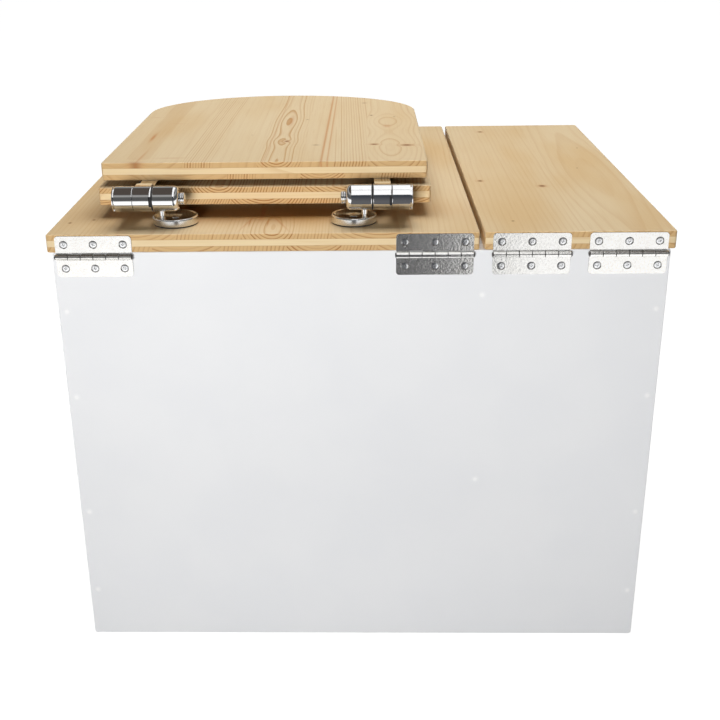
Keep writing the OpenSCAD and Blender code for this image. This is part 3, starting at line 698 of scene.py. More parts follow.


# %% [markdown]
# ## Metals, plastic and rubber
#
# The butt hinges are nickel-plated and were tumbled in a drum with others, so their sheet is faintly
# dimpled. Close to the panel, faces that don't look straight out are darkened, a painted shade along the
# leaves' edges and knuckles. Their pins are dark, oiled steel. The seat hinges are polished chrome, a
# little duller on the turned sides of the discs. Screws, nuts, studs and the bail are zinc-plated steel.

# %% Nickel, chrome and zinc
leaf_back_y = corners("hinge_1_lower_leaf")[0].y
steel_nickel = colour(0.88, 0.872, 0.85)
nickel_haze = colour(0.80, 0.785, 0.75)
nickel_speck = colour(0.50, 0.49, 0.46)
# painted shade for the leaves' edges and knuckles close to the panel
painted_edge_shade = colour(0.20, 0.18, 0.16)
edge_shade_depth = 1.6
steel_chrome = colour(0.86, 0.865, 0.87)
wiped_chrome = colour(0.78, 0.785, 0.80)
steel_zinc = colour(0.84, 0.845, 0.85)
zinc_spangle = colour(0.68, 0.685, 0.70)
oil_thick, oil_thin = colour(0.10, 0.095, 0.09), colour(0.17, 0.16, 0.15)
disc_top_z = corners("right_base_disc")[1].z


def tumbled(shade):
    x, y, z = shade.places()
    place = shade.vector(x, y, z)
    dents = shade.noise(place, 1 / 2.0, 2.0)
    scuffs = shade.noise(place, 1 / 0.5, 3.0)
    haze = shade.noise(place, 1 / 9.0, 2.0)
    tone = shade.mix(shade.smooth(haze, 0.45, 0.7) * 0.4, steel_nickel, nickel_haze)
    # painted shade: close to the panel, faces that don't look straight out are darkened
    edge = (1 - shade.smooth(shade.facing()[1], 0.35, 0.95)) * (y < leaf_back_y + edge_shade_depth)
    tone = shade.mix(edge * 0.85, tone, painted_edge_shade)
    speckle = shade.noise(place, 1 / 1.9, 3.0)
    tone = shade.mix(shade.smooth(speckle, 0.46, 0.62) * 0.14, tone, nickel_speck)
    return {
        "Base Color": tone,
        "Roughness": shade.smooth(scuffs, 0.3, 0.8) * 0.12 + 0.15,
        "Normal": shade.relief(dents, 0.00010),
    }


def polished(shade):
    x, y, z = shade.places()
    wipe = shade.noise(shade.vector(x, y, z), 1 / 6.0, 3.0)
    tone = shade.mix(shade.smooth(wipe, 0.45, 0.8) * 0.3, steel_chrome, wiped_chrome)
    turned = (1 - shade.smooth(shade.facing()[2], 0.2, 0.5)) * (z < disc_top_z)
    return {"Base Color": tone, "Roughness": shade.smooth(wipe, 0.5, 0.9) * 0.05 + turned * 0.17 + 0.05}


def zinc_plated(shade):
    x, y, z = shade.places()
    spangle = shade.noise(shade.vector(x, y, z), 1 / 1.4, 3.0)
    tone = shade.mix(shade.smooth(spangle, 0.35, 0.7), steel_zinc, zinc_spangle)
    return {"Base Color": tone, "Roughness": spangle * 0.18 + 0.10}


def oiled(shade):
    film = shade.noise(shade.vector(*shade.places()), 1 / 3.0, 2.0)
    return {"Base Color": shade.mix(film, oil_thick, oil_thin)}


nickel = finish("nickel_tumbled", {"Metallic": 1.0}, tumbled)
chrome = finish("chrome_polished", {"Metallic": 1.0}, polished)
zinc = finish("zinc_plated", {"Metallic": 1.0}, zinc_plated)
oiled_steel = finish("oiled_steel", {"Metallic": 1.0, "Roughness": 0.4}, oiled)

# %% Plastic and rubber


def moulded(tone, worn, grain_size, depth):
    """Moulded plastic with a fine grain, a little paler where it has been handled."""

    def build(shade):
        x, y, z = shade.places()
        place = shade.vector(x, y, z)
        grain = shade.noise(place, 1 / grain_size, 2.0)
        wear = shade.noise(place, 1 / 35, 3.0)
        return {
            "Base Color": shade.mix(shade.smooth(wear, 0.5, 0.8) * 0.5, tone, worn),
            "Roughness": grain * 0.2 + 0.38,
            "Normal": shade.relief(grain, depth),
        }

    return build


black, black_worn = colour(0.022, 0.022, 0.024), colour(0.05, 0.05, 0.052)
rubber_black, rubber_worn = colour(0.030, 0.030, 0.031), colour(0.06, 0.058, 0.056)
pail_grey, pail_worn = colour(0.085, 0.092, 0.098), colour(0.13, 0.138, 0.145)
black_plastic = finish("black_plastic", {}, moulded(black, black_worn, 0.6, 2e-5))
rubber = finish("soft_rubber", {}, moulded(rubber_black, rubber_worn, 0.9, 3e-5))
bucket_grey = finish("bucket_plastic", {}, moulded(pail_grey, pail_worn, 1.2, 4e-5))

# %% [markdown]
# ## Cabinet panels
#
# Six panels make the cabinet. Paint rounds every edge a little, so each panel is a block whose edges are
# bevelled. The front and rear panels cover the ends of the others, and their corners are rounder.

# %% Panels
paint_edge = 0.9
panel_corner = 3.0


def panel(node, corner=0.0):
    low, high = corners(node)
    shape = bmesh.new()
    block(shape, low, high)
    if corner:
        upright = [e for e in shape.edges if abs((e.verts[0].co - e.verts[1].co).y) > 1]
        soften(shape, upright, corner, 6)
    soften(shape, sharp_edges(shape, 50), paint_edge, 3)
    put("painted_" + node, shape, "cabinet", white_paint, [node])
    print(node, [round(value, 1) for value in high - low])


for node in ("rear_panel", "front_panel"):
    panel(node, panel_corner)
for node in ("right_side_panel", "left_side_panel", "partition", "base_panel"):
    panel(node)

# %% [markdown]
# ## Filled screw heads
#
# The panels' screws are sunk, filled and painted over. Each shows as a faint round swelling, so it is a
# shallow dome on the panel, spun from a curve.

# %% Filler
filler_r = 4.5
filler_rise = 0.45
filler_foot = -0.6


def filler_spot(shape, place, outward):
    """A shallow dome whose middle stands out along outward."""
    rise = [(filler_r, filler_foot), (filler_r, -0.02), (filler_r * 0.8, filler_rise * 0.25)]
    rise += [(filler_r * 0.5, filler_rise * 0.75), (filler_r * 0.2, filler_rise * 0.97), (0.0, filler_rise)]
    made = lathe(shape, [(0.0, filler_foot)] + rise, 32)
    turn_by(shape, Vector((0, 0, 1)).rotation_difference(Vector(outward)).to_matrix(), made)
    move(shape, Vector(place), made)


rear_low, rear_high = corners("rear_panel")
front_y = corners("front_panel")[0].y
partition_low, partition_high = corners("partition")
panel_t = rear_high.y - rear_low.y
body_h = rear_high.z
rear_y = rear_high.y
side_heights = [61, 166, body_h - 165, body_h - 65]
partition_heights = [208, body_h - 49]
base_screw_places = (-180, 0, 180)
side_middle = rear_high.x - panel_t / 2
partition_middle = (partition_low.x + partition_high.x) / 2

shape = bmesh.new()
for end, face in ((1, rear_y), (-1, front_y)):
    for x in (side_middle, -side_middle):
        for z in side_heights:
            filler_spot(shape, (x, face, z), (0, end, 0))
    for z in partition_heights:
        filler_spot(shape, (partition_middle, face, z), (0, end, 0))
for side in (1, -1):
    for y in base_screw_places:
        filler_spot(shape, (side * rear_high.x, y, panel_t / 2), (side, 0, 0))
put("filled_screw_heads", shape, "cabinet", filler_paint, ["screw_filler"])
print("filler over", 2 * 10 + 6, "screw heads")

# %% [markdown]
# ## Screws
#
# A cross-headed screw has a shallow head with four wings sunk in it. The recess is what makes it a screw
# at this size, so it is modelled. The head's face is cut along eight lines, the faces inside the cross
# are picked out, pushed in and drawn together.

# %% One screw, drawn with its head's face at the origin
screw_r = 2.0
wing = 0.5
wing_reach = 1.75
recess_depth = 1.1
recess_draw = 0.55
raised_crown, flat_crown = 0.35, 0.12


def cross_screw(shape, head_r, length, crown, seat_r):
    """Adds a screw whose head faces +Z, with a wider cone behind the head if it has a seat. Answers its
    vertices."""
    cone = head_r - screw_r
    before = set(shape.verts)
    rim = [(0.0, -length), (0.5, -length + 0.6), (screw_r, -length + 3), (screw_r, -cone)]
    if seat_r:
        rim += [(seat_r, -1.0), (seat_r, -0.9), (head_r - 0.35, -0.85)]
    rim += [(head_r - 0.35, -0.15), (head_r - 0.3, 0.0), (head_r - 0.8, crown * 0.5)]
    rim += [(head_r - 1.5, crown)]
    verts = [shape.verts.new((radius, 0.0, height)) for radius, height in rim]
    edges = [shape.edges.new(pair) for pair in zip(verts, verts[1:])]
    spin(shape, verts + edges, math.tau, 32, merge=True)
    made = [v for v in shape.verts if v not in before]
    shade_smooth({face for v in made for face in v.link_faces})
    bmesh.ops.remove_doubles(shape, verts=made, dist=0.0005)
    top = [e for e in shape.edges if e.is_boundary and all(v not in before for v in e.verts)]
    bmesh.ops.contextual_create(shape, geom=top)
    for across in ((1, 0, 0), (0, 1, 0)):
        for place in (-wing_reach, -wing, wing, wing_reach):
            cap = [f for f in shape.faces if f.verts[0] not in before
                   and all(abs(v.co.z - crown) < 1e-4 for v in f.verts)]
            cut = cap + list({e for f in cap for e in f.edges}) + list({v for f in cap for v in f.verts})
            bmesh.ops.bisect_plane(shape, geom=cut, plane_co=Vector(across) * place, plane_no=across)
    recess = []
    for face in shape.faces:
        if face.verts[0] in before or any(abs(v.co.z - crown) > 1e-4 for v in face.verts):
            continue
        middle = face.calc_center_median()
        near, far = sorted((abs(middle.x), abs(middle.y)))
        if near < wing and far < wing_reach:
            recess.append(face)
    sunk = bmesh.ops.extrude_face_region(shape, geom=recess)
    bmesh.ops.delete(shape, geom=recess, context="FACES")
    floor_verts = only_verts(sunk["geom"])
    move(shape, (0, 0, -recess_depth), floor_verts)
    bmesh.ops.scale(shape, verts=floor_verts, vec=(recess_draw, recess_draw, 1))
    return [v for v in shape.verts if v not in before]


def place_screw(shape, place, direction, head_r, length, angle, seat_r=0.0):
    """A screw whose head faces along direction at a place, its cross turned by an angle."""
    made = cross_screw(shape, head_r, length, flat_crown if seat_r else raised_crown, seat_r)
    spun = Matrix.Rotation(math.radians(angle), 3, "Z")
    turned = Vector((0, 0, 1)).rotation_difference(Vector(direction)).to_matrix()
    turn_by(shape, turned @ spun, made)
    move(shape, Vector(place), made)


print("a screw can be drawn")

# %% [markdown]
# ## Butt hinges
#
# A butt hinge is two stamped leaves whose edges are rolled round a pin in turns, three knuckles each. A
# leaf is drawn as the flat sheet with its holes, thickened, and one rolled strip for each knuckle. The
# strip is spun about the pin for most of a turn, so the slit where the roll closes is really there.

# %% One leaf
leaf_t = 1.5
leaf_corner = 3.5
knuckle_r = 3.3
pin_r = 1.7
knuckle_gap = 0.9
knuckle_count = 6
screw_row = 12.9
screw_pitch = 31.0
slot_top = knuckle_r + 0.3
hole_r = 3.6
countersink = 0.8
head_r = 3.5
roll_turn = math.radians(292)


def leaf_sheet(shape, width, height):
    """The flat sheet: its face in X and Z, from the slots up to the free edge, with three holes."""
    sheet = bmesh.ops.create_grid(shape, x_segments=1, y_segments=1, size=0.5)["verts"]
    bmesh.ops.scale(shape, verts=sheet, vec=(width, height - slot_top, 1))
    move(shape, (0, (height + slot_top) / 2, 0), sheet)
    round_off(shape, [v for v in sheet if v.co.y > (height + slot_top) / 2], leaf_corner)
    for k in (-1, 0, 1):
        ring = bmesh.ops.create_circle(shape, segments=32, radius=hole_r)["verts"]
        move(shape, (k * screw_pitch, screw_row, 0), ring)
    bmesh.ops.triangle_fill(shape, use_beauty=True, edges=list(shape.edges))
    thicken(shape, list(shape.faces), (0, 0, leaf_t))
    rims = [e for e in shape.edges if all(abs(v.co.z) < 0.01 for v in e.verts)
            and e.calc_length() < 1.0 and abs(e.verts[0].co.y - screw_row) < hole_r + 0.1]
    bmesh.ops.bevel(shape, geom=rims, offset=countersink, offset_type="OFFSET", segments=1, affect="EDGES")
    soften(shape, sharp_edges(shape, 60), 0.22, 2)
    turn_by(shape, Matrix.Rotation(math.pi / 2, 3, "X"))


def rolled_knuckle(shape, x0, x1):
    """A strip of sheet that comes down to the pin and rolls round it, between two places along it."""
    before = set(shape.verts)
    inner = shape.verts.new((x0, -knuckle_r, 0))
    outer = shape.verts.new((x0, -knuckle_r + leaf_t, 0))
    start = shape.edges.new((inner, outer))
    spin(shape, [inner, outer, start], roll_turn, 28, axis=(1, 0, 0))
    tail = bmesh.ops.extrude_edge_only(shape, edges=[start])["geom"]
    move(shape, (0, -0.3, slot_top + 0.6), only_verts(tail))
    strip = [f for f in shape.faces if not any(v in before for v in f.verts)]
    thicken(shape, strip, (x1 - x0, 0, 0))
    made = [f for f in shape.faces if not any(v in before for v in f.verts)]
    shade_smooth([f for f in made if abs(f.normal.x) < 0.5])


print("leaf helpers are ready")

# %% All eight leaves
hinge_bodies = ["seat_board", "seat_board", "litter_lid", "litter_lid"]


def hinge_axis(number):
    """The middle of a hinge's pin."""
    low, high = corners("hinge_%d_lower_leaf" % number)
    pin_low, pin_high = corners("hinge_%d_pin" % number)
    return Vector(((low.x + high.x) / 2, (pin_low.y + pin_high.y) / 2, (pin_low.z + pin_high.z) / 2))


def hinge_leaf(number, up):
    node = "hinge_%d_%s_leaf" % (number, "upper" if up > 0 else "lower")
    low, high = corners(node)
    axis = hinge_axis(number)
    width = high.x - low.x
    height = (high.z - axis.z) if up > 0 else (axis.z - low.z)
    shape = bmesh.new()
    leaf_sheet(shape, width, height)
    move(shape, (0, rear_y + leaf_t - axis.y, 0))
    pitch = width / knuckle_count
    for k in range(0 if up > 0 else 1, knuckle_count, 2):
        x1 = width / 2 - k * pitch - knuckle_gap / 2
        rolled_knuckle(shape, x1 - pitch + knuckle_gap, x1)
    if up < 0:
        bmesh.ops.scale(shape, verts=shape.verts, vec=(1, 1, -1))
    move(shape, axis)
    body = hinge_bodies[number - 1] if up > 0 else "cabinet"
    put("rolled_" + node, shape, body, nickel, [node])


for number in (1, 2, 3, 4):
    for up in (1, -1):
        hinge_leaf(number, up)
print("eight leaves, the first pin at", [round(v, 1) for v in hinge_axis(1)])

# %% Pins and screws of the butt hinges
pin_head_r = 2.7
pin_head_h = 1.2
leaf_screw_l = 15.0


def hinge_pin(number):
    axis = hinge_axis(number)
    low, high = corners("hinge_%d_pin" % number)
    half = (high.x - low.x) / 2
    shape = bmesh.new()
    half_profile = [
        (0.0, half), (pin_head_r * 0.6, half - 0.1), (pin_head_r, half - 0.7), (pin_head_r, half - pin_head_h),
        (pin_r, half - pin_head_h),
    ]
    profile = half_profile + [(radius, -height) for radius, height in reversed(half_profile)]
    lathe(shape, profile, 32)
    turn_by(shape, lie_along_x)
    move(shape, axis)
    put("headed_hinge_%d_pin" % number, shape, "cabinet", oiled_steel, ["hinge_%d_pin" % number])


def leaf_screws(name, numbers, up, body, node):
    shape = bmesh.new()
    for number in numbers:
        axis = hinge_axis(number)
        for k in (-1, 0, 1):
            place = (axis.x + k * screw_pitch, rear_y + leaf_t - 0.3, axis.z + up * screw_row)
            cross_angle = (number * 37 + k * 61 + up * 23) % 90
            place_screw(shape, place, (0, 1, 0), head_r, leaf_screw_l, cross_angle, hole_r - 0.05)
    put(name, shape, body, zinc, [node])


for number in (1, 2, 3, 4):
    hinge_pin(number)
leaf_screws("cross_screws_below", (1, 2, 3, 4), -1, "cabinet", "lower_leaf_screws")
leaf_screws("cross_screws_seat_board", (1, 2), 1, "seat_board", "seat_board_hinge_screws")
leaf_screws("cross_screws_litter_lid", (3, 4), 1, "litter_lid", "litter_lid_hinge_screws")
print("24 leaf screws and 4 pins")

# %% [markdown]
# ## The two boards on top
#
# Both boards are flat blanks with their corners and edges eased by hand with sandpaper. The seat board
# has the bucket's hole. A blank is drawn as its outline, with the hole where it has one, filled,
# thickened, and its rims rounded with a bevel.

# %% Blanks
edge_ease = 1.3
board_corner = 3.0
hole_power = 2.3


def rectangle_outline(shape, low, high, corner):
    """A rectangle of edges with round corners."""
    made = bmesh.ops.create_grid(shape, x_segments=1, y_segments=1, size=0.5)["verts"]
    bmesh.ops.scale(shape, verts=made, vec=(high.x - low.x, high.y - low.y, 1))
    move(shape, ((low.x + high.x) / 2, (low.y + high.y) / 2, 0), made)
    round_off(shape, made, corner)


def oval_outline(shape, middle, width, length):
    """The hole's oval of edges, a little fuller than an ellipse."""
    made = bmesh.ops.create_circle(shape, segments=96, radius=1.0)["verts"]
    for vert in made:
        x, y = vert.co.x, vert.co.y
        vert.co.x = math.copysign(abs(x) ** (2 / hole_power), x) * width / 2 + middle.x
        vert.co.y = math.copysign(abs(y) ** (2 / hole_power), y) * length / 2 + middle.y


def blank(shape, bottom, top):
    """Fills the outline, gives it its thickness and rounds its rims."""
    bmesh.ops.triangle_fill(shape, use_beauty=True, edges=list(shape.edges))
    bmesh.ops.dissolve_limit(
        shape, angle_limit=0.001, use_dissolve_boundaries=False,
        verts=list(shape.verts), edges=list(shape.edges),
    )
    move(shape, (0, 0, bottom))
    thicken(shape, list(shape.faces), (0, 0, top - bottom))
    shape.normal_update()
    shade_smooth([face for face in shape.faces if abs(face.normal.z) < 0.5])
    soften(shape, sharp_edges(shape, 60), edge_ease, 4)


board_low, board_high = corners("seat_board")
litter_low, litter_high = corners("litter_lid")
seat_low, seat_high = corners("toilet_seat")
lid_low, lid_high = corners("seat_lid")
seat_x = (seat_low.x + seat_high.x) / 2
pair_x = (board_low.x + board_high.x) / 2
hole_middle = Vector((seat_x, -14.5, 0))
hole_size = (216.0, 286.0)
board_hole_margin = 6.0
print("seat board", board_high - board_low, "litter lid", litter_high - litter_low)

# %% Wood of the boards
# The broad orange mark isn't the wood's own. It is a painted shadow, the orange of the seat's shadow, and
# shows as an orange blotch between the seat hinges when the seat is up.
seat_board_wood = spruce(
    "spruce_seat_board", (board_low, board_high),
    [
        Stave(-62, -300, 90, 0.004, 5.5, 0.20, 2.5, tone=0.08),
        Stave(28, -20, 70, -0.01, 4.2, 0.26, 2.0, tone=0.04),
        Stave(66, 300, 60, 0.006, 3.4, 0.30, 1.0, tone=0.12),
        Stave(122, 92, 18, 0.0, 3.6, 0.60, 2.0, ((262, 60, 8),), tone=0.10),
        Stave(190, 480, 80, 0.0, 4.0, 0.26, 1.5, tone=0.02),
        Stave(262, 230, 60, 0.01, 4.4, 0.26, 2.5, tone=0.06),
        Stave(999, 520, 90, 0.008, 5.0, 0.22, 2.5, tone=0.16),
    ],
    [
        Mark(310.7, 240, 1.6, 2.0), Mark(287.3, 228.4, 1.5, 2.0),
        Mark(97.3, 242, 0.9, 14, 0.0, 0.75, resin_red), Mark(116.6, 241.5, 0.9, 14, 0.0, 0.75, resin_red),
        # the broad mark at 100, 202 is a painted shadow of the seat, not the wood's own
        Mark(100, 202, 150, 40, 0.0, 0.85, painted_seat_shadow), Mark(105.6, 204, 2.4, 26, 0.0, 0.70, resin_red),
        Mark(86, 240, 1.3, 32, -0.34, 0.45, resin_red), Mark(118, 240, 1.2, 32, 0.20, 0.40, resin_red),
    ],
    seed=3.1,
)
litter_lid_wood = spruce(
    "spruce_litter_lid", (litter_low, litter_high),
    [
        Stave(-236, -285, 46, 0.006, 7.5, 0.20, 4.0, ((40, 190, 12),), tone=0.10),
        Stave(999, -20, 70, 0.008, 5.5, 0.17, 3.0, tone=0.10),
    ],
    [
        Mark(-177, -250, 2.6, 3.0, bend=5), Mark(-216.7, 89.7, 3.2, 3.4, bend=5),
        Mark(-146.2, 61.3, 2.4, 2.6, bend=4), Mark(-162.7, 245.5, 1.4, 1.5),
        Mark(-297.1, -128.6, 1.1, 1.2), Mark(-275, -5.1, 1.1, 1.2),
    ],
    seed=8.4,
)

# %% Seat board and litter lid
shape = bmesh.new()
rectangle_outline(shape, board_low, board_high, board_corner)
oval_outline(shape, hole_middle, hole_size[0] + 2 * board_hole_margin, hole_size[1] + 2 * board_hole_margin)
blank(shape, board_low.z, board_high.z)
put("eased_seat_board", shape, "seat_board", seat_board_wood, ["seat_board"])

shape = bmesh.new()
rectangle_outline(shape, litter_low, litter_high, board_corner)
blank(shape, litter_low.z, litter_high.z)
put("eased_litter_lid", shape, "litter_lid", litter_lid_wood, ["litter_lid"])

# %% [markdown]
# ## The seat and its lid
#
# Both are sawn from the same three-ply stock. The outline is a straight rear edge, straight sides and an
# elliptic front. It comes from a circle that is squashed to the front's ellipse and cut in half, whose
# cut side is drawn back to the rear edge.

# %% Outline of the seat
seat_rear_corner = 4.0
seat_straight, lid_straight = 325.0, 317.0


def seat_outline(shape, low, high, straight):
    """Edges of a seat-shaped outline in the box between two corners."""
    width, bow = high.x - low.x, high.y - low.y - straight
    made = bmesh.ops.create_circle(shape, segments=144, radius=1.0)["verts"]
    for vert in made:
        vert.co.x = vert.co.x * width / 2 + (low.x + high.x) / 2
        vert.co.y = min(vert.co.y, 0.0) * bow + high.y - straight
    bmesh.ops.remove_doubles(shape, verts=list(shape.verts), dist=0.01)
    bmesh.ops.delete(shape, geom=[v for v in shape.verts if v.is_valid and not v.link_edges], context="VERTS")
    join = high.y - straight
    middle_line = [v for v in shape.verts if abs(v.co.y - join) < 1e-4]
    ends = [min(middle_line, key=lambda v: v.co.x), max(middle_line, key=lambda v: v.co.x)]
    extra = [v for v in middle_line if v not in ends]
    bmesh.ops.delete(shape, geom=extra, context="VERTS")
    back = []
    for end in ends:
        corner = shape.verts.new((end.co.x, high.y, 0))
        shape.edges.new((end, corner))
        back.append(corner)
    shape.edges.new(back)
    bmesh.ops.contextual_create(shape, geom=list(shape.edges))
    round_off(shape, back, seat_rear_corner)


# %% Wood of the seat and the lid
lid_wood = spruce(
    "spruce_lid", (lid_low, lid_high),
    [
        Stave(-10, -36, 22, 0.0, 5.0, 0.34, 3.0, ((140, 62, 14), (-20, 45, 12)), tone=0.02),
        Stave(28, 330, 60, -0.017, 3.2, 0.50, 0.6, tone=0.02),
        Stave(62, 420, 90, 0.01, 9.0, 0.12, 1.0, tone=0.04),
        Stave(110, 88, 16, 0.004, 3.0, 0.60, 1.6, ((-33, 70, 4), (102, 24, 3), (280, 240, 5)), tone=0.06),
        Stave(158, 600, 80, 0.0, 9.0, 0.10, 1.0, tone=0.0),
        Stave(190, 700, 60, 0.017, 3.0, 0.50, 0.6, tone=0.02),
        Stave(999, 240, 60, 0.0, 7.0, 0.14, 4.0, tone=0.05),
    ],
    [
        Mark(38.8, 15, 1.2, 420, 0.0096, 0.60, resin_red), Mark(33.0, 15, 0.9, 420, 0.006, 0.50, resin_red),
        Mark(101, 0, 0.9, 420, 0.012, 0.30, resin_red), Mark(85.8, -33, 3.0, 36, 0.0, 0.35, resin_red),
        Mark(245.5, 72, 2.0, 22, 0.0, 0.70, resin_red), Mark(241, 219, 5.0, 7.0, bend=8),
        Mark(239.5, 185, 1.4, 36, 0.03, 0.40, resin_red), Mark(228, -17.7, 8.0, 1.2, 0.0, 0.30, resin_red),
        Mark(264.6, -64, 6.0, 1.5, 0.0, 0.35, resin_red), Mark(206, 189, 15.0, 1.8, 0.0, 0.40, resin_red),
        Mark(84.2, 101.6, 2.2, 3.0, 0.0, 0.75, bend=3), Mark(49.3, 125, 3.4, 1.4, 0.0, 0.85),
        Mark(66.2, -38.4, 1.5, 1.5, 0.0, 0.70), Mark(128, 62, 1.0, 1.2, 0.0, 0.50),
        Mark(-17.3, 123.9, 3.4, 2.6, bend=4), Mark(-54.2, 130, 5.0, 3.0, bend=5),
        Mark(-34, 12, 4.5, 9.0, 0.0, 0.35, resin_red), Mark(-15.6, -64.6, 1.6, 2.4),
        Mark(-44.9, -52, 1.4, 2.0, 0.0, 0.6), Mark(-6.8, -161.3, 3.0, 2.2, 0.0, 0.7),
    ],
    seed=1.7,
)
seat_wood = spruce(
    "spruce_seat", (seat_low, seat_high),
    [
        Stave(60, 0, 60, 0.01, 3.0, 0.50),
        Stave(185, 150, 12, 0.0, 3.0, 0.9),
        Stave(999, 330, 60, 0.0, 2.6, 0.55),
    ],
    seed=6.2,
)

# %% Seat and lid
shape = bmesh.new()
seat_outline(shape, seat_low, seat_high, seat_straight)
oval_outline(shape, hole_middle, *hole_size)
blank(shape, seat_low.z, seat_high.z)
put("eased_toilet_seat", shape, "seat", seat_wood, ["toilet_seat"])

shape = bmesh.new()
seat_outline(shape, lid_low, lid_high, lid_straight)
blank(shape, lid_low.z, lid_high.z)
put("eased_seat_lid", shape, "lid", lid_wood, ["seat_lid"])
print("seat", seat_high - seat_low, "lid", lid_high - lid_low)

# %% [markdown]
# ## The soft-close seat hinges
#
# Each hinge is a row of three barrels on one axis. The fixed barrel stands on a post in a round base
# disc. The next barrel turns with the lid and the last one with the seat, and a strap leaves each of
# them forwards. They are turned parts, so each is a profile spun about the axis.

# %% Measures of a seat hinge
axle_low, axle_high = corners("right_axle")
disc_low, disc_high = corners("right_base_disc")
axis_y = (axle_low.y + axle_high.y) / 2
axis_z = (axle_low.z + axle_high.z) / 2
board_top = board_high.z
barrel_r = 13.25
bore_r = 11.0
axle_bore = 4.05
disc_h = 9.0
gasket_t = 1.2
seat_arm_low, seat_arm_high = corners("right_seat_arm")
post_low, post_high = corners("right_post")
barrel_start = corners("right_fixed_barrel")[0].x - pair_x
lid_barrel_x = corners("right_lid_arm")[0].x - pair_x
seat_barrel_x = seat_arm_low.x - pair_x
barrel_end_x = seat_arm_high.x - pair_x
post_x, post_y = (post_low.x + post_high.x) / 2 - pair_x, axis_y
disc_x, disc_y = (disc_low.x + disc_high.x) / 2 - pair_x, (disc_low.y + disc_high.y) / 2
hinge_sides = (("right", 1), ("left", -1))
print("hinge axis at y", round(axis_y, 2), "z", round(axis_z, 2))
print("barrels at", [round(value, 2) for value in (barrel_start, lid_barrel_x, seat_barrel_x, barrel_end_x)])


def to_side(shape, side, verts):
    """From a drawing about the axis to a hinge, mirrored for the left one."""
    bmesh.ops.scale(shape, verts=verts, vec=(side, 1, 1))
    move(shape, (pair_x, axis_y, axis_z), verts)


def to_axis(shape, side):
    """From a drawing about Z to a hinge: Z goes along the axis, away from the seat's middle."""
    turn_by(shape, lie_along_x)
    to_side(shape, side, shape.verts)


# %% Discs, gaskets and posts
for name, side in hinge_sides:
    shape = bmesh.new()
    foot = board_top + gasket_t
    top = board_top + disc_h
    lathe(shape, [
        (0, foot), (24.0, foot), (24.22, foot + 0.3), (24.25, foot + 0.6),
        (24.02, top - 1.3), (23.8, top - 0.6),
        (23.3, top - 0.15), (22.6, top), (21.9, top - 0.1), (21.4, top - 0.45),
        (20.8, top - 0.6), (5.0, top - 2.4), (0, top - 2.4),
    ], 128)
    move(shape, (pair_x + side * disc_x, disc_y, 0))
    put("turned_%s_base_disc" % name, shape, "seat_board", chrome, [name + "_base_disc"])

    shape = bmesh.new()
    lathe(shape, [(4.5, board_top), (23.6, board_top), (23.75, board_top + 0.3), (23.6, foot), (4.5, foot)], 96)
    move(shape, (pair_x + side * disc_x, disc_y, 0))
    put("flat_%s_disc_gasket" % name, shape, "seat_board", rubber, [name + "_disc_gasket"])

    shape = bmesh.new()
    low, high = corners(name + "_post")
    lathe(shape, [
        (0, low.z), (3, low.z), (3, top + 0.7), (2.7, top + 1.0), (2.3, top + 1.2), (2.3, top + 2.8),
        (2.7, top + 3.0), (3, top + 3.3), (3, high.z), (0, high.z),
    ], 48)
    move(shape, (pair_x + side * post_x, post_y, 0))
    put("turned_%s_post" % name, shape, "seat_board", chrome, [name + "_post"])
print("two base discs with gaskets and posts")

# %% Fixed barrels, axles and dampers
dome_r = 6.0


def arc(middle, radius, start, stop, steps=8):
    """Points of (radius, height) on a quarter round."""
    angles = [start + (stop - start) * k / steps for k in range(steps + 1)]
    return [
        (middle[0] + radius * math.cos(math.radians(a)), middle[1] + radius * math.sin(math.radians(a)))
        for a in angles
    ]


for name, side in hinge_sides:
    shape = bmesh.new()
    end = lid_barrel_x - 1.4
    profile = [(axle_bore, barrel_start)]
    profile += arc((barrel_r - dome_r, barrel_start + dome_r), dome_r, -90, 0)
    profile += [(barrel_r, end - 0.6), (barrel_r - 0.2, end - 0.2), (barrel_r - 0.6, end), (axle_bore, end)]
    lathe(shape, profile, 96)
    to_axis(shape, side)
    put("domed_%s_fixed_barrel" % name, shape, "seat_board", chrome, [name + "_fixed_barrel"])

    shape = bmesh.new()
    head = barrel_start - 5.5
    profile = [(0, head)] + arc((4.9, head + 1.6), 1.6, -90, 65, 12)
    profile += arc((4.9, barrel_start - 1.7), 1.6, -65, 90, 12) + [(4, barrel_start - 0.1)]
    profile += [(4, barrel_end_x - 5), (0, barrel_end_x - 5)]
    lathe(shape, profile, 64)
    to_axis(shape, side)
    put("beaded_%s_axle" % name, shape, "seat_board", chrome, [name + "_axle"])

    shape = bmesh.new()
    start = lid_barrel_x - 1.3
    lathe(shape, [
        (axle_bore, start), (12.8, start), (13.0, start + 0.2), (13.0, start + 1.0), (12.8, start + 1.2),
        (10.95, start + 1.2), (10.95, barrel_end_x - 4), (axle_bore, barrel_end_x - 4),
    ], 96)
    to_axis(shape, side)
    put("black_%s_damper" % name, shape, "seat_board", black_plastic, [name + "_damper"])
print("fixed barrels, axles and dampers")

# %% [markdown]
# ## The arms of the seat hinges
#
# An arm is one strip that is rolled into a barrel and runs on as a flat strap, like a figure nine seen
# from its end. The barrel is a spun ring. The strap is its side view, drawn as a path, widened with an
# extrude, and rounded along its edges.

# %% Arms
strap_t = 2.5
strap_reach = 85.0
strap_jog = 5.0
strap_bend = 0.8
barrel_ease = 0.4
groove_w = 1.5
groove_depth = 2.2
groove_from_end = 1.1
notch_out = 2.4
notch_from = 112.5
notch_angle = 48.75


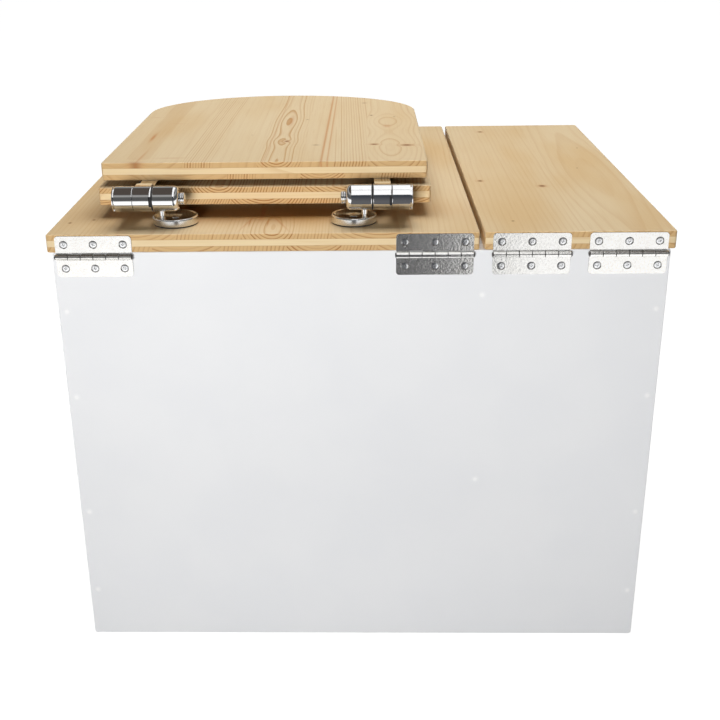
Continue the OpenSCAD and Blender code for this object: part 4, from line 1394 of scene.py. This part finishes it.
def strap(shape, leave, top, x0, x1):
    """A strap from the barrel's tangent at height leave to its board at height top, both above the axis."""
    side_view = [
        (0.0, leave), (barrel_r, leave), (barrel_r + strap_jog, top), (strap_reach, top),
        (strap_reach, top - strap_t), (barrel_r + strap_jog - strap_bend, top - strap_t),
        (barrel_r - strap_bend, leave - strap_t), (0.0, leave - strap_t),
    ]
    before = set(shape.verts)
    verts = [shape.verts.new((x0, -forward, height)) for forward, height in side_view]
    face = shape.faces.new(verts)
    thicken(shape, [face], (x1 - x0, 0, 0))
    made = [v for v in shape.verts if v not in before]
    edges = [e for e in shape.edges if e.verts[0] in made and len(e.link_faces) == 2]
    soften(shape, [e for e in edges if e.calc_face_angle() > math.radians(60)], 0.4, 2)
    return [v for v in shape.verts if v not in before]


def rim(start, end):
    """Points that ease the outer edge of a barrel at start; end is the other end, to tell the direction."""
    way = 1 if end > start else -1
    return [
        (barrel_r - barrel_ease, start), (barrel_r - 0.3 * barrel_ease, start + way * 0.3 * barrel_ease),
        (barrel_r, start + way * barrel_ease),
    ]


def notched_ring(shape, section):
    """A short ring that is open at its lower rear, where the black damper shows."""
    verts = [shape.verts.new((radius, 0.0, place)) for radius, place in section]
    edges = [shape.edges.new(pair) for pair in zip(verts, verts[1:] + verts[:1])]
    before = set(shape.verts) - set(verts)
    turn_by(shape, Matrix.Rotation(math.radians(notch_from), 3, "Z"), verts)
    last = spin(shape, verts + edges, math.radians(360 - notch_angle), 83)
    bmesh.ops.contextual_create(shape, geom=edges)
    bmesh.ops.contextual_create(shape, geom=[e for e in last if isinstance(e, bmesh.types.BMEdge)])
    shade_smooth({face for v in shape.verts if v not in before for face in v.link_faces})


def lid_barrel(shape, side):
    """The lid's barrel: a whole ring and a short notched one."""
    start, end = lid_barrel_x, seat_barrel_x - 0.25
    if side > 0:
        cut = start + notch_out
        notched_ring(shape, [(bore_r, start)] + rim(start, end) + [(barrel_r, cut), (bore_r, cut)])
        lathe(shape, [(bore_r, cut), (barrel_r, cut)] + rim(end, start)[::-1] + [(bore_r, end)], 96)
    else:
        cut = end - notch_out
        notched_ring(shape, [(bore_r, cut), (barrel_r, cut)] + rim(end, start)[::-1] + [(bore_r, end)])
        lathe(shape, [(bore_r, start)] + rim(start, end) + [(barrel_r, cut), (bore_r, cut)], 96)


def seat_barrel(shape):
    """The seat's barrel: closed at its outer end, with a groove near it."""
    start, end = seat_barrel_x, barrel_end_x
    far, near = end - groove_from_end, end - groove_from_end - groove_w
    bottom = barrel_r - groove_depth
    groove = [(barrel_r, near), (bottom, near), (bottom, far), (barrel_r, far)]
    inside = [(0.0, near - 2), (bore_r, near - 2), (bore_r, start)]
    lathe(shape, inside + rim(start, end) + groove + rim(end, start)[::-1] + [(0.0, end)], 96)


for name, side in hinge_sides:
    shape = bmesh.new()
    lid_barrel(shape, side)
    to_axis(shape, side)
    made = strap(shape, barrel_r - 0.1, lid_low.z - axis_z, lid_barrel_x + 1, seat_barrel_x - 1)
    to_side(shape, side, made)
    put("rolled_%s_lid_arm" % name, shape, "lid", chrome, [name + "_lid_arm"])

    shape = bmesh.new()
    seat_barrel(shape)
    to_axis(shape, side)
    made = strap(shape, -barrel_r + strap_t + 0.1, seat_low.z - axis_z, seat_barrel_x + 1, barrel_end_x - 1)
    to_side(shape, side, made)
    put("rolled_%s_seat_arm" % name, shape, "seat", chrome, [name + "_seat_arm"])
print("four arms")

# %% Screws under the straps
strap_screws = (axis_y - strap_reach + 30, axis_y - strap_reach + 10)
arm_screw_head_r, arm_screw_l = 3.5, 15.0


def arm_screws(name, along, height, body, node):
    shape = bmesh.new()
    for side in (1, -1):
        for y in strap_screws:
            place = (pair_x + side * along, y, height - strap_t + 0.1)
            place_screw(shape, place, (0, 0, -1), arm_screw_head_r, arm_screw_l, y % 90)
    put(name, shape, body, zinc, [node])


arm_screws("cross_screws_lid_arms", (lid_barrel_x + seat_barrel_x) / 2, lid_low.z, "lid", "lid_arm_screws")
arm_screws("cross_screws_seat_arms", (seat_barrel_x + barrel_end_x) / 2, seat_low.z, "seat", "seat_arm_screws")

# %% Studs and clamp nuts
thread_pitch = 1.25
stud_hole = 4.05
nut_r, nut_h = 7.5, 6.5

for name, side in hinge_sides:
    low, high = corners(name + "_stud")
    shape = bmesh.new()
    profile = [(0, low.z), (3.4, low.z), (4.0, low.z + 0.7)]
    turns = int((board_low.z - low.z - 2) / thread_pitch)
    for k in range(turns):
        z = low.z + 0.8 + k * thread_pitch
        profile += [(4.0, z), (3.5, z + 0.62)]
    profile += [(4.0, low.z + 1.2 + turns * thread_pitch), (4.0, high.z), (0, high.z)]
    lathe(shape, profile, 40)
    move(shape, (pair_x + side * disc_x, disc_y, 0))
    put("threaded_%s_stud" % name, shape, "seat_board", zinc, [name + "_stud"])

    low, high = corners(name + "_clamp_nut")
    shape = bmesh.new()
    washer = [(stud_hole, high.z - 2), (11.7, high.z - 2), (12, high.z - 1.7), (12, high.z - 0.3)]
    lathe(shape, washer + [(11.7, high.z), (stud_hole, high.z)], 64)
    nut = bmesh.ops.create_cone(
        shape, cap_ends=True, segments=6, radius1=nut_r, radius2=nut_r, depth=nut_h)["verts"]
    move(shape, (0, 0, low.z + nut_h / 2), nut)
    rims = list({e for v in nut for e in v.link_edges})
    soften(shape, rims, 0.5, 2)
    move(shape, (pair_x + side * disc_x, disc_y, 0))
    put("six_sided_%s_clamp_nut" % name, shape, "seat_board", zinc, [name + "_clamp_nut"])
print("two studs and two nuts")

# %% [markdown]
# ## Buffers
#
# Four rubber buffers carry the seat and four smaller ones the lid, so that wood doesn't meet wood. They
# are moulded and round, wider where they are screwed on.

# %% Buffers
seat_half = (seat_high.x - seat_low.x) / 2


def buffers(name, spots, radius, low, high, body, node):
    shape = bmesh.new()
    for side in (1, -1):
        for inset, back in spots:
            made = lathe(shape, [
                (0, low), (radius - 3.8, low), (radius - 3.1, low + 0.5), (radius - 0.4, high - 2.2),
                (radius, high - 1.6), (radius, high - 0.2), (radius - 0.3, high), (0, high),
            ], 48)
            move(shape, (seat_x + side * (seat_half - inset), rear_y - back, 0), made)
    put(name, shape, body, rubber, [node])


buffers("moulded_seat_buffers", ((30.5, 165), (36.5, 405)), 11, board_top, seat_low.z, "seat", "seat_buffers")
buffers("moulded_lid_buffers", ((30.5, 215), (50.5, 440)), 9, seat_high.z, lid_low.z, "lid", "lid_buffers")
print("eight buffers")

# %% [markdown]
# ## The bucket
#
# The bucket is a moulded pail with a turned-over rim, a stiffening rib and two ears. The bail is a wire
# whose ends turn in the ears, with a tube on it to hold. The pail is spun, and the wire is a circle that
# is extruded along its straight parts and spun round its bends.

# %% Bucket
bucket_low, bucket_high = corners("bucket")
bucket_middle = Vector((seat_x, hole_middle.y, 0))
bucket_z, bucket_top = bucket_low.z, bucket_high.z
bucket_h = bucket_top - bucket_z
rim_r = (bucket_high.y - bucket_low.y) / 2
foot_r, wall = rim_r - 31.0, 2.4
ear_drop = 26.0
ear_z = bucket_top - ear_drop
ear_x = (bucket_high.x - bucket_low.x) / 2


def wall_r(height):
    """Outer radius of the pail's wall at a height above its foot."""
    return foot_r + (rim_r - 8 - foot_r) * height / bucket_h


shape = bmesh.new()
rib = bucket_h - 50
lathe(shape, [(radius, height + bucket_z) for radius, height in [
    (0, 3), (foot_r - 8, 3), (foot_r - 6.5, 0), (foot_r - 0.8, 0), (foot_r, 0.8),
    (wall_r(rib - 3), rib - 3), (wall_r(rib) + 2.6, rib - 1.2), (wall_r(rib) + 3, rib),
    (wall_r(rib) + 2.6, rib + 1.2), (wall_r(rib + 3), rib + 3),
    (wall_r(bucket_h - wall), bucket_h - wall), (rim_r - wall, bucket_h - wall), (rim_r - wall, bucket_h - 12),
    (rim_r - 0.4, bucket_h - 12), (rim_r, bucket_h - 11.5),
    (rim_r, bucket_h - 2), (rim_r - 0.6, bucket_h - 0.6),
    (rim_r - 2, bucket_h), (wall_r(bucket_h) - wall + 0.6, bucket_h), (wall_r(bucket_h) - wall, bucket_h - 0.7),
    (wall_r(6) - wall + 0.4, 8), (wall_r(6) - wall - 2, 6), (0, 6),
]], 128)
ear_root = wall_r(bucket_h) - 8
for s in (1, -1):
    made = lathe(shape, [
        (2.55, ear_root), (12, ear_root), (12, ear_x - 0.8), (11.2, ear_x), (6, ear_x), (5.2, ear_x - 0.8),
        (3.4, ear_x - 0.8), (2.55, ear_x - 0.8),
    ], 48)
    turn_by(shape, lie_along_x, made)
    bmesh.ops.scale(shape, verts=made, vec=(s, 1, 1))
    move(shape, (0, 0, ear_z), made)
move(shape, bucket_middle)
put("moulded_bucket", shape, "bucket", bucket_grey, ["bucket"])
print("bucket", bucket_high - bucket_low)

# %% Bail and grip
bail_x = rim_r + 13.0
wire_r = 2.5
bail_arm = 57.0
bail_pin_l = 11
bail_turn = bail_x - bail_arm
grip_low, grip_high = corners("bail_grip")
grip_middle = (grip_low + grip_high) / 2
bail_rest = math.atan2(ear_z - grip_middle.z, bucket_middle.y - grip_middle.y)


def bail_wire(shape):
    """Half of the wire in the level position, from the ear's hole to the middle."""
    ring = bmesh.ops.create_circle(shape, cap_ends=True, segments=24, radius=wire_r)
    verts = ring["verts"]
    turn_by(shape, lie_along_x, verts)
    move(shape, (ear_x - bail_pin_l, 0, 0), verts)
    faces = [f for f in shape.faces if all(v in verts for v in f.verts)]
    edges = [e for f in faces for e in f.edges]

    def carry_on(edges, vec):
        grown = bmesh.ops.extrude_edge_only(shape, edges=edges)["geom"]
        moved = only_verts(grown)
        move(shape, vec, moved)
        return [e for e in grown if isinstance(e, bmesh.types.BMEdge) and all(v in moved for v in e.verts)]

    def bend(edges, centre, axis, angle, steps):
        geom = list({v for e in edges for v in e.verts}) + edges
        last = spin(shape, geom, math.radians(angle), steps, axis, centre)
        return [e for e in last if isinstance(e, bmesh.types.BMEdge)]

    knee = wire_r + 0.6
    edges = carry_on(edges, (bail_x - knee - ear_x + bail_pin_l, 0, 0))
    edges = bend(edges, (bail_x - knee, -knee, 0), (0, 0, 1), -90, 8)
    edges = carry_on(edges, (0, -(bail_arm - knee), 0))
    edges = bend(edges, (bail_x - bail_turn, -bail_arm, 0), (0, 0, 1), -90, 24)
    carry_on(edges, (-(bail_x - bail_turn), 0, 0))


shape = bmesh.new()
bail_wire(shape)
shade_smooth([face for face in shape.faces if len(face.verts) == 4])
half = list(shape.verts) + list(shape.edges) + list(shape.faces)
bmesh.ops.mirror(shape, geom=half, axis="X", merge_dist=0.001)
turn_by(shape, Matrix.Rotation(bail_rest, 3, "X"))
move(shape, bucket_middle + Vector((0, 0, ear_z)))
put("bent_bail", shape, "bail", zinc, ["bail_handle"])

shape = bmesh.new()
lathe(shape, [
    (2.55, -54), (8.6, -54), (9.6, -53.2), (10, -52), (10, -48), (9.2, -46), (9.2, 46), (10, 48), (10, 52),
    (9.6, 53.2), (8.6, 54), (2.55, 54),
], 48)
turn_by(shape, lie_along_x)
move(shape, grip_middle)
put("tube_bail_grip", shape, "bail", black_plastic, ["bail_grip"])
print("the bail hangs", round(math.degrees(bail_rest), 1), "degrees below level")

# %% [markdown]
# ## What is left
#
# The panels' own screws are inside the wood and keep the frame's shape. They take the zinc finish.

# %% Finish
nodes["panel_screws"].data.materials.clear()
nodes["panel_screws"].data.materials.append(zinc)
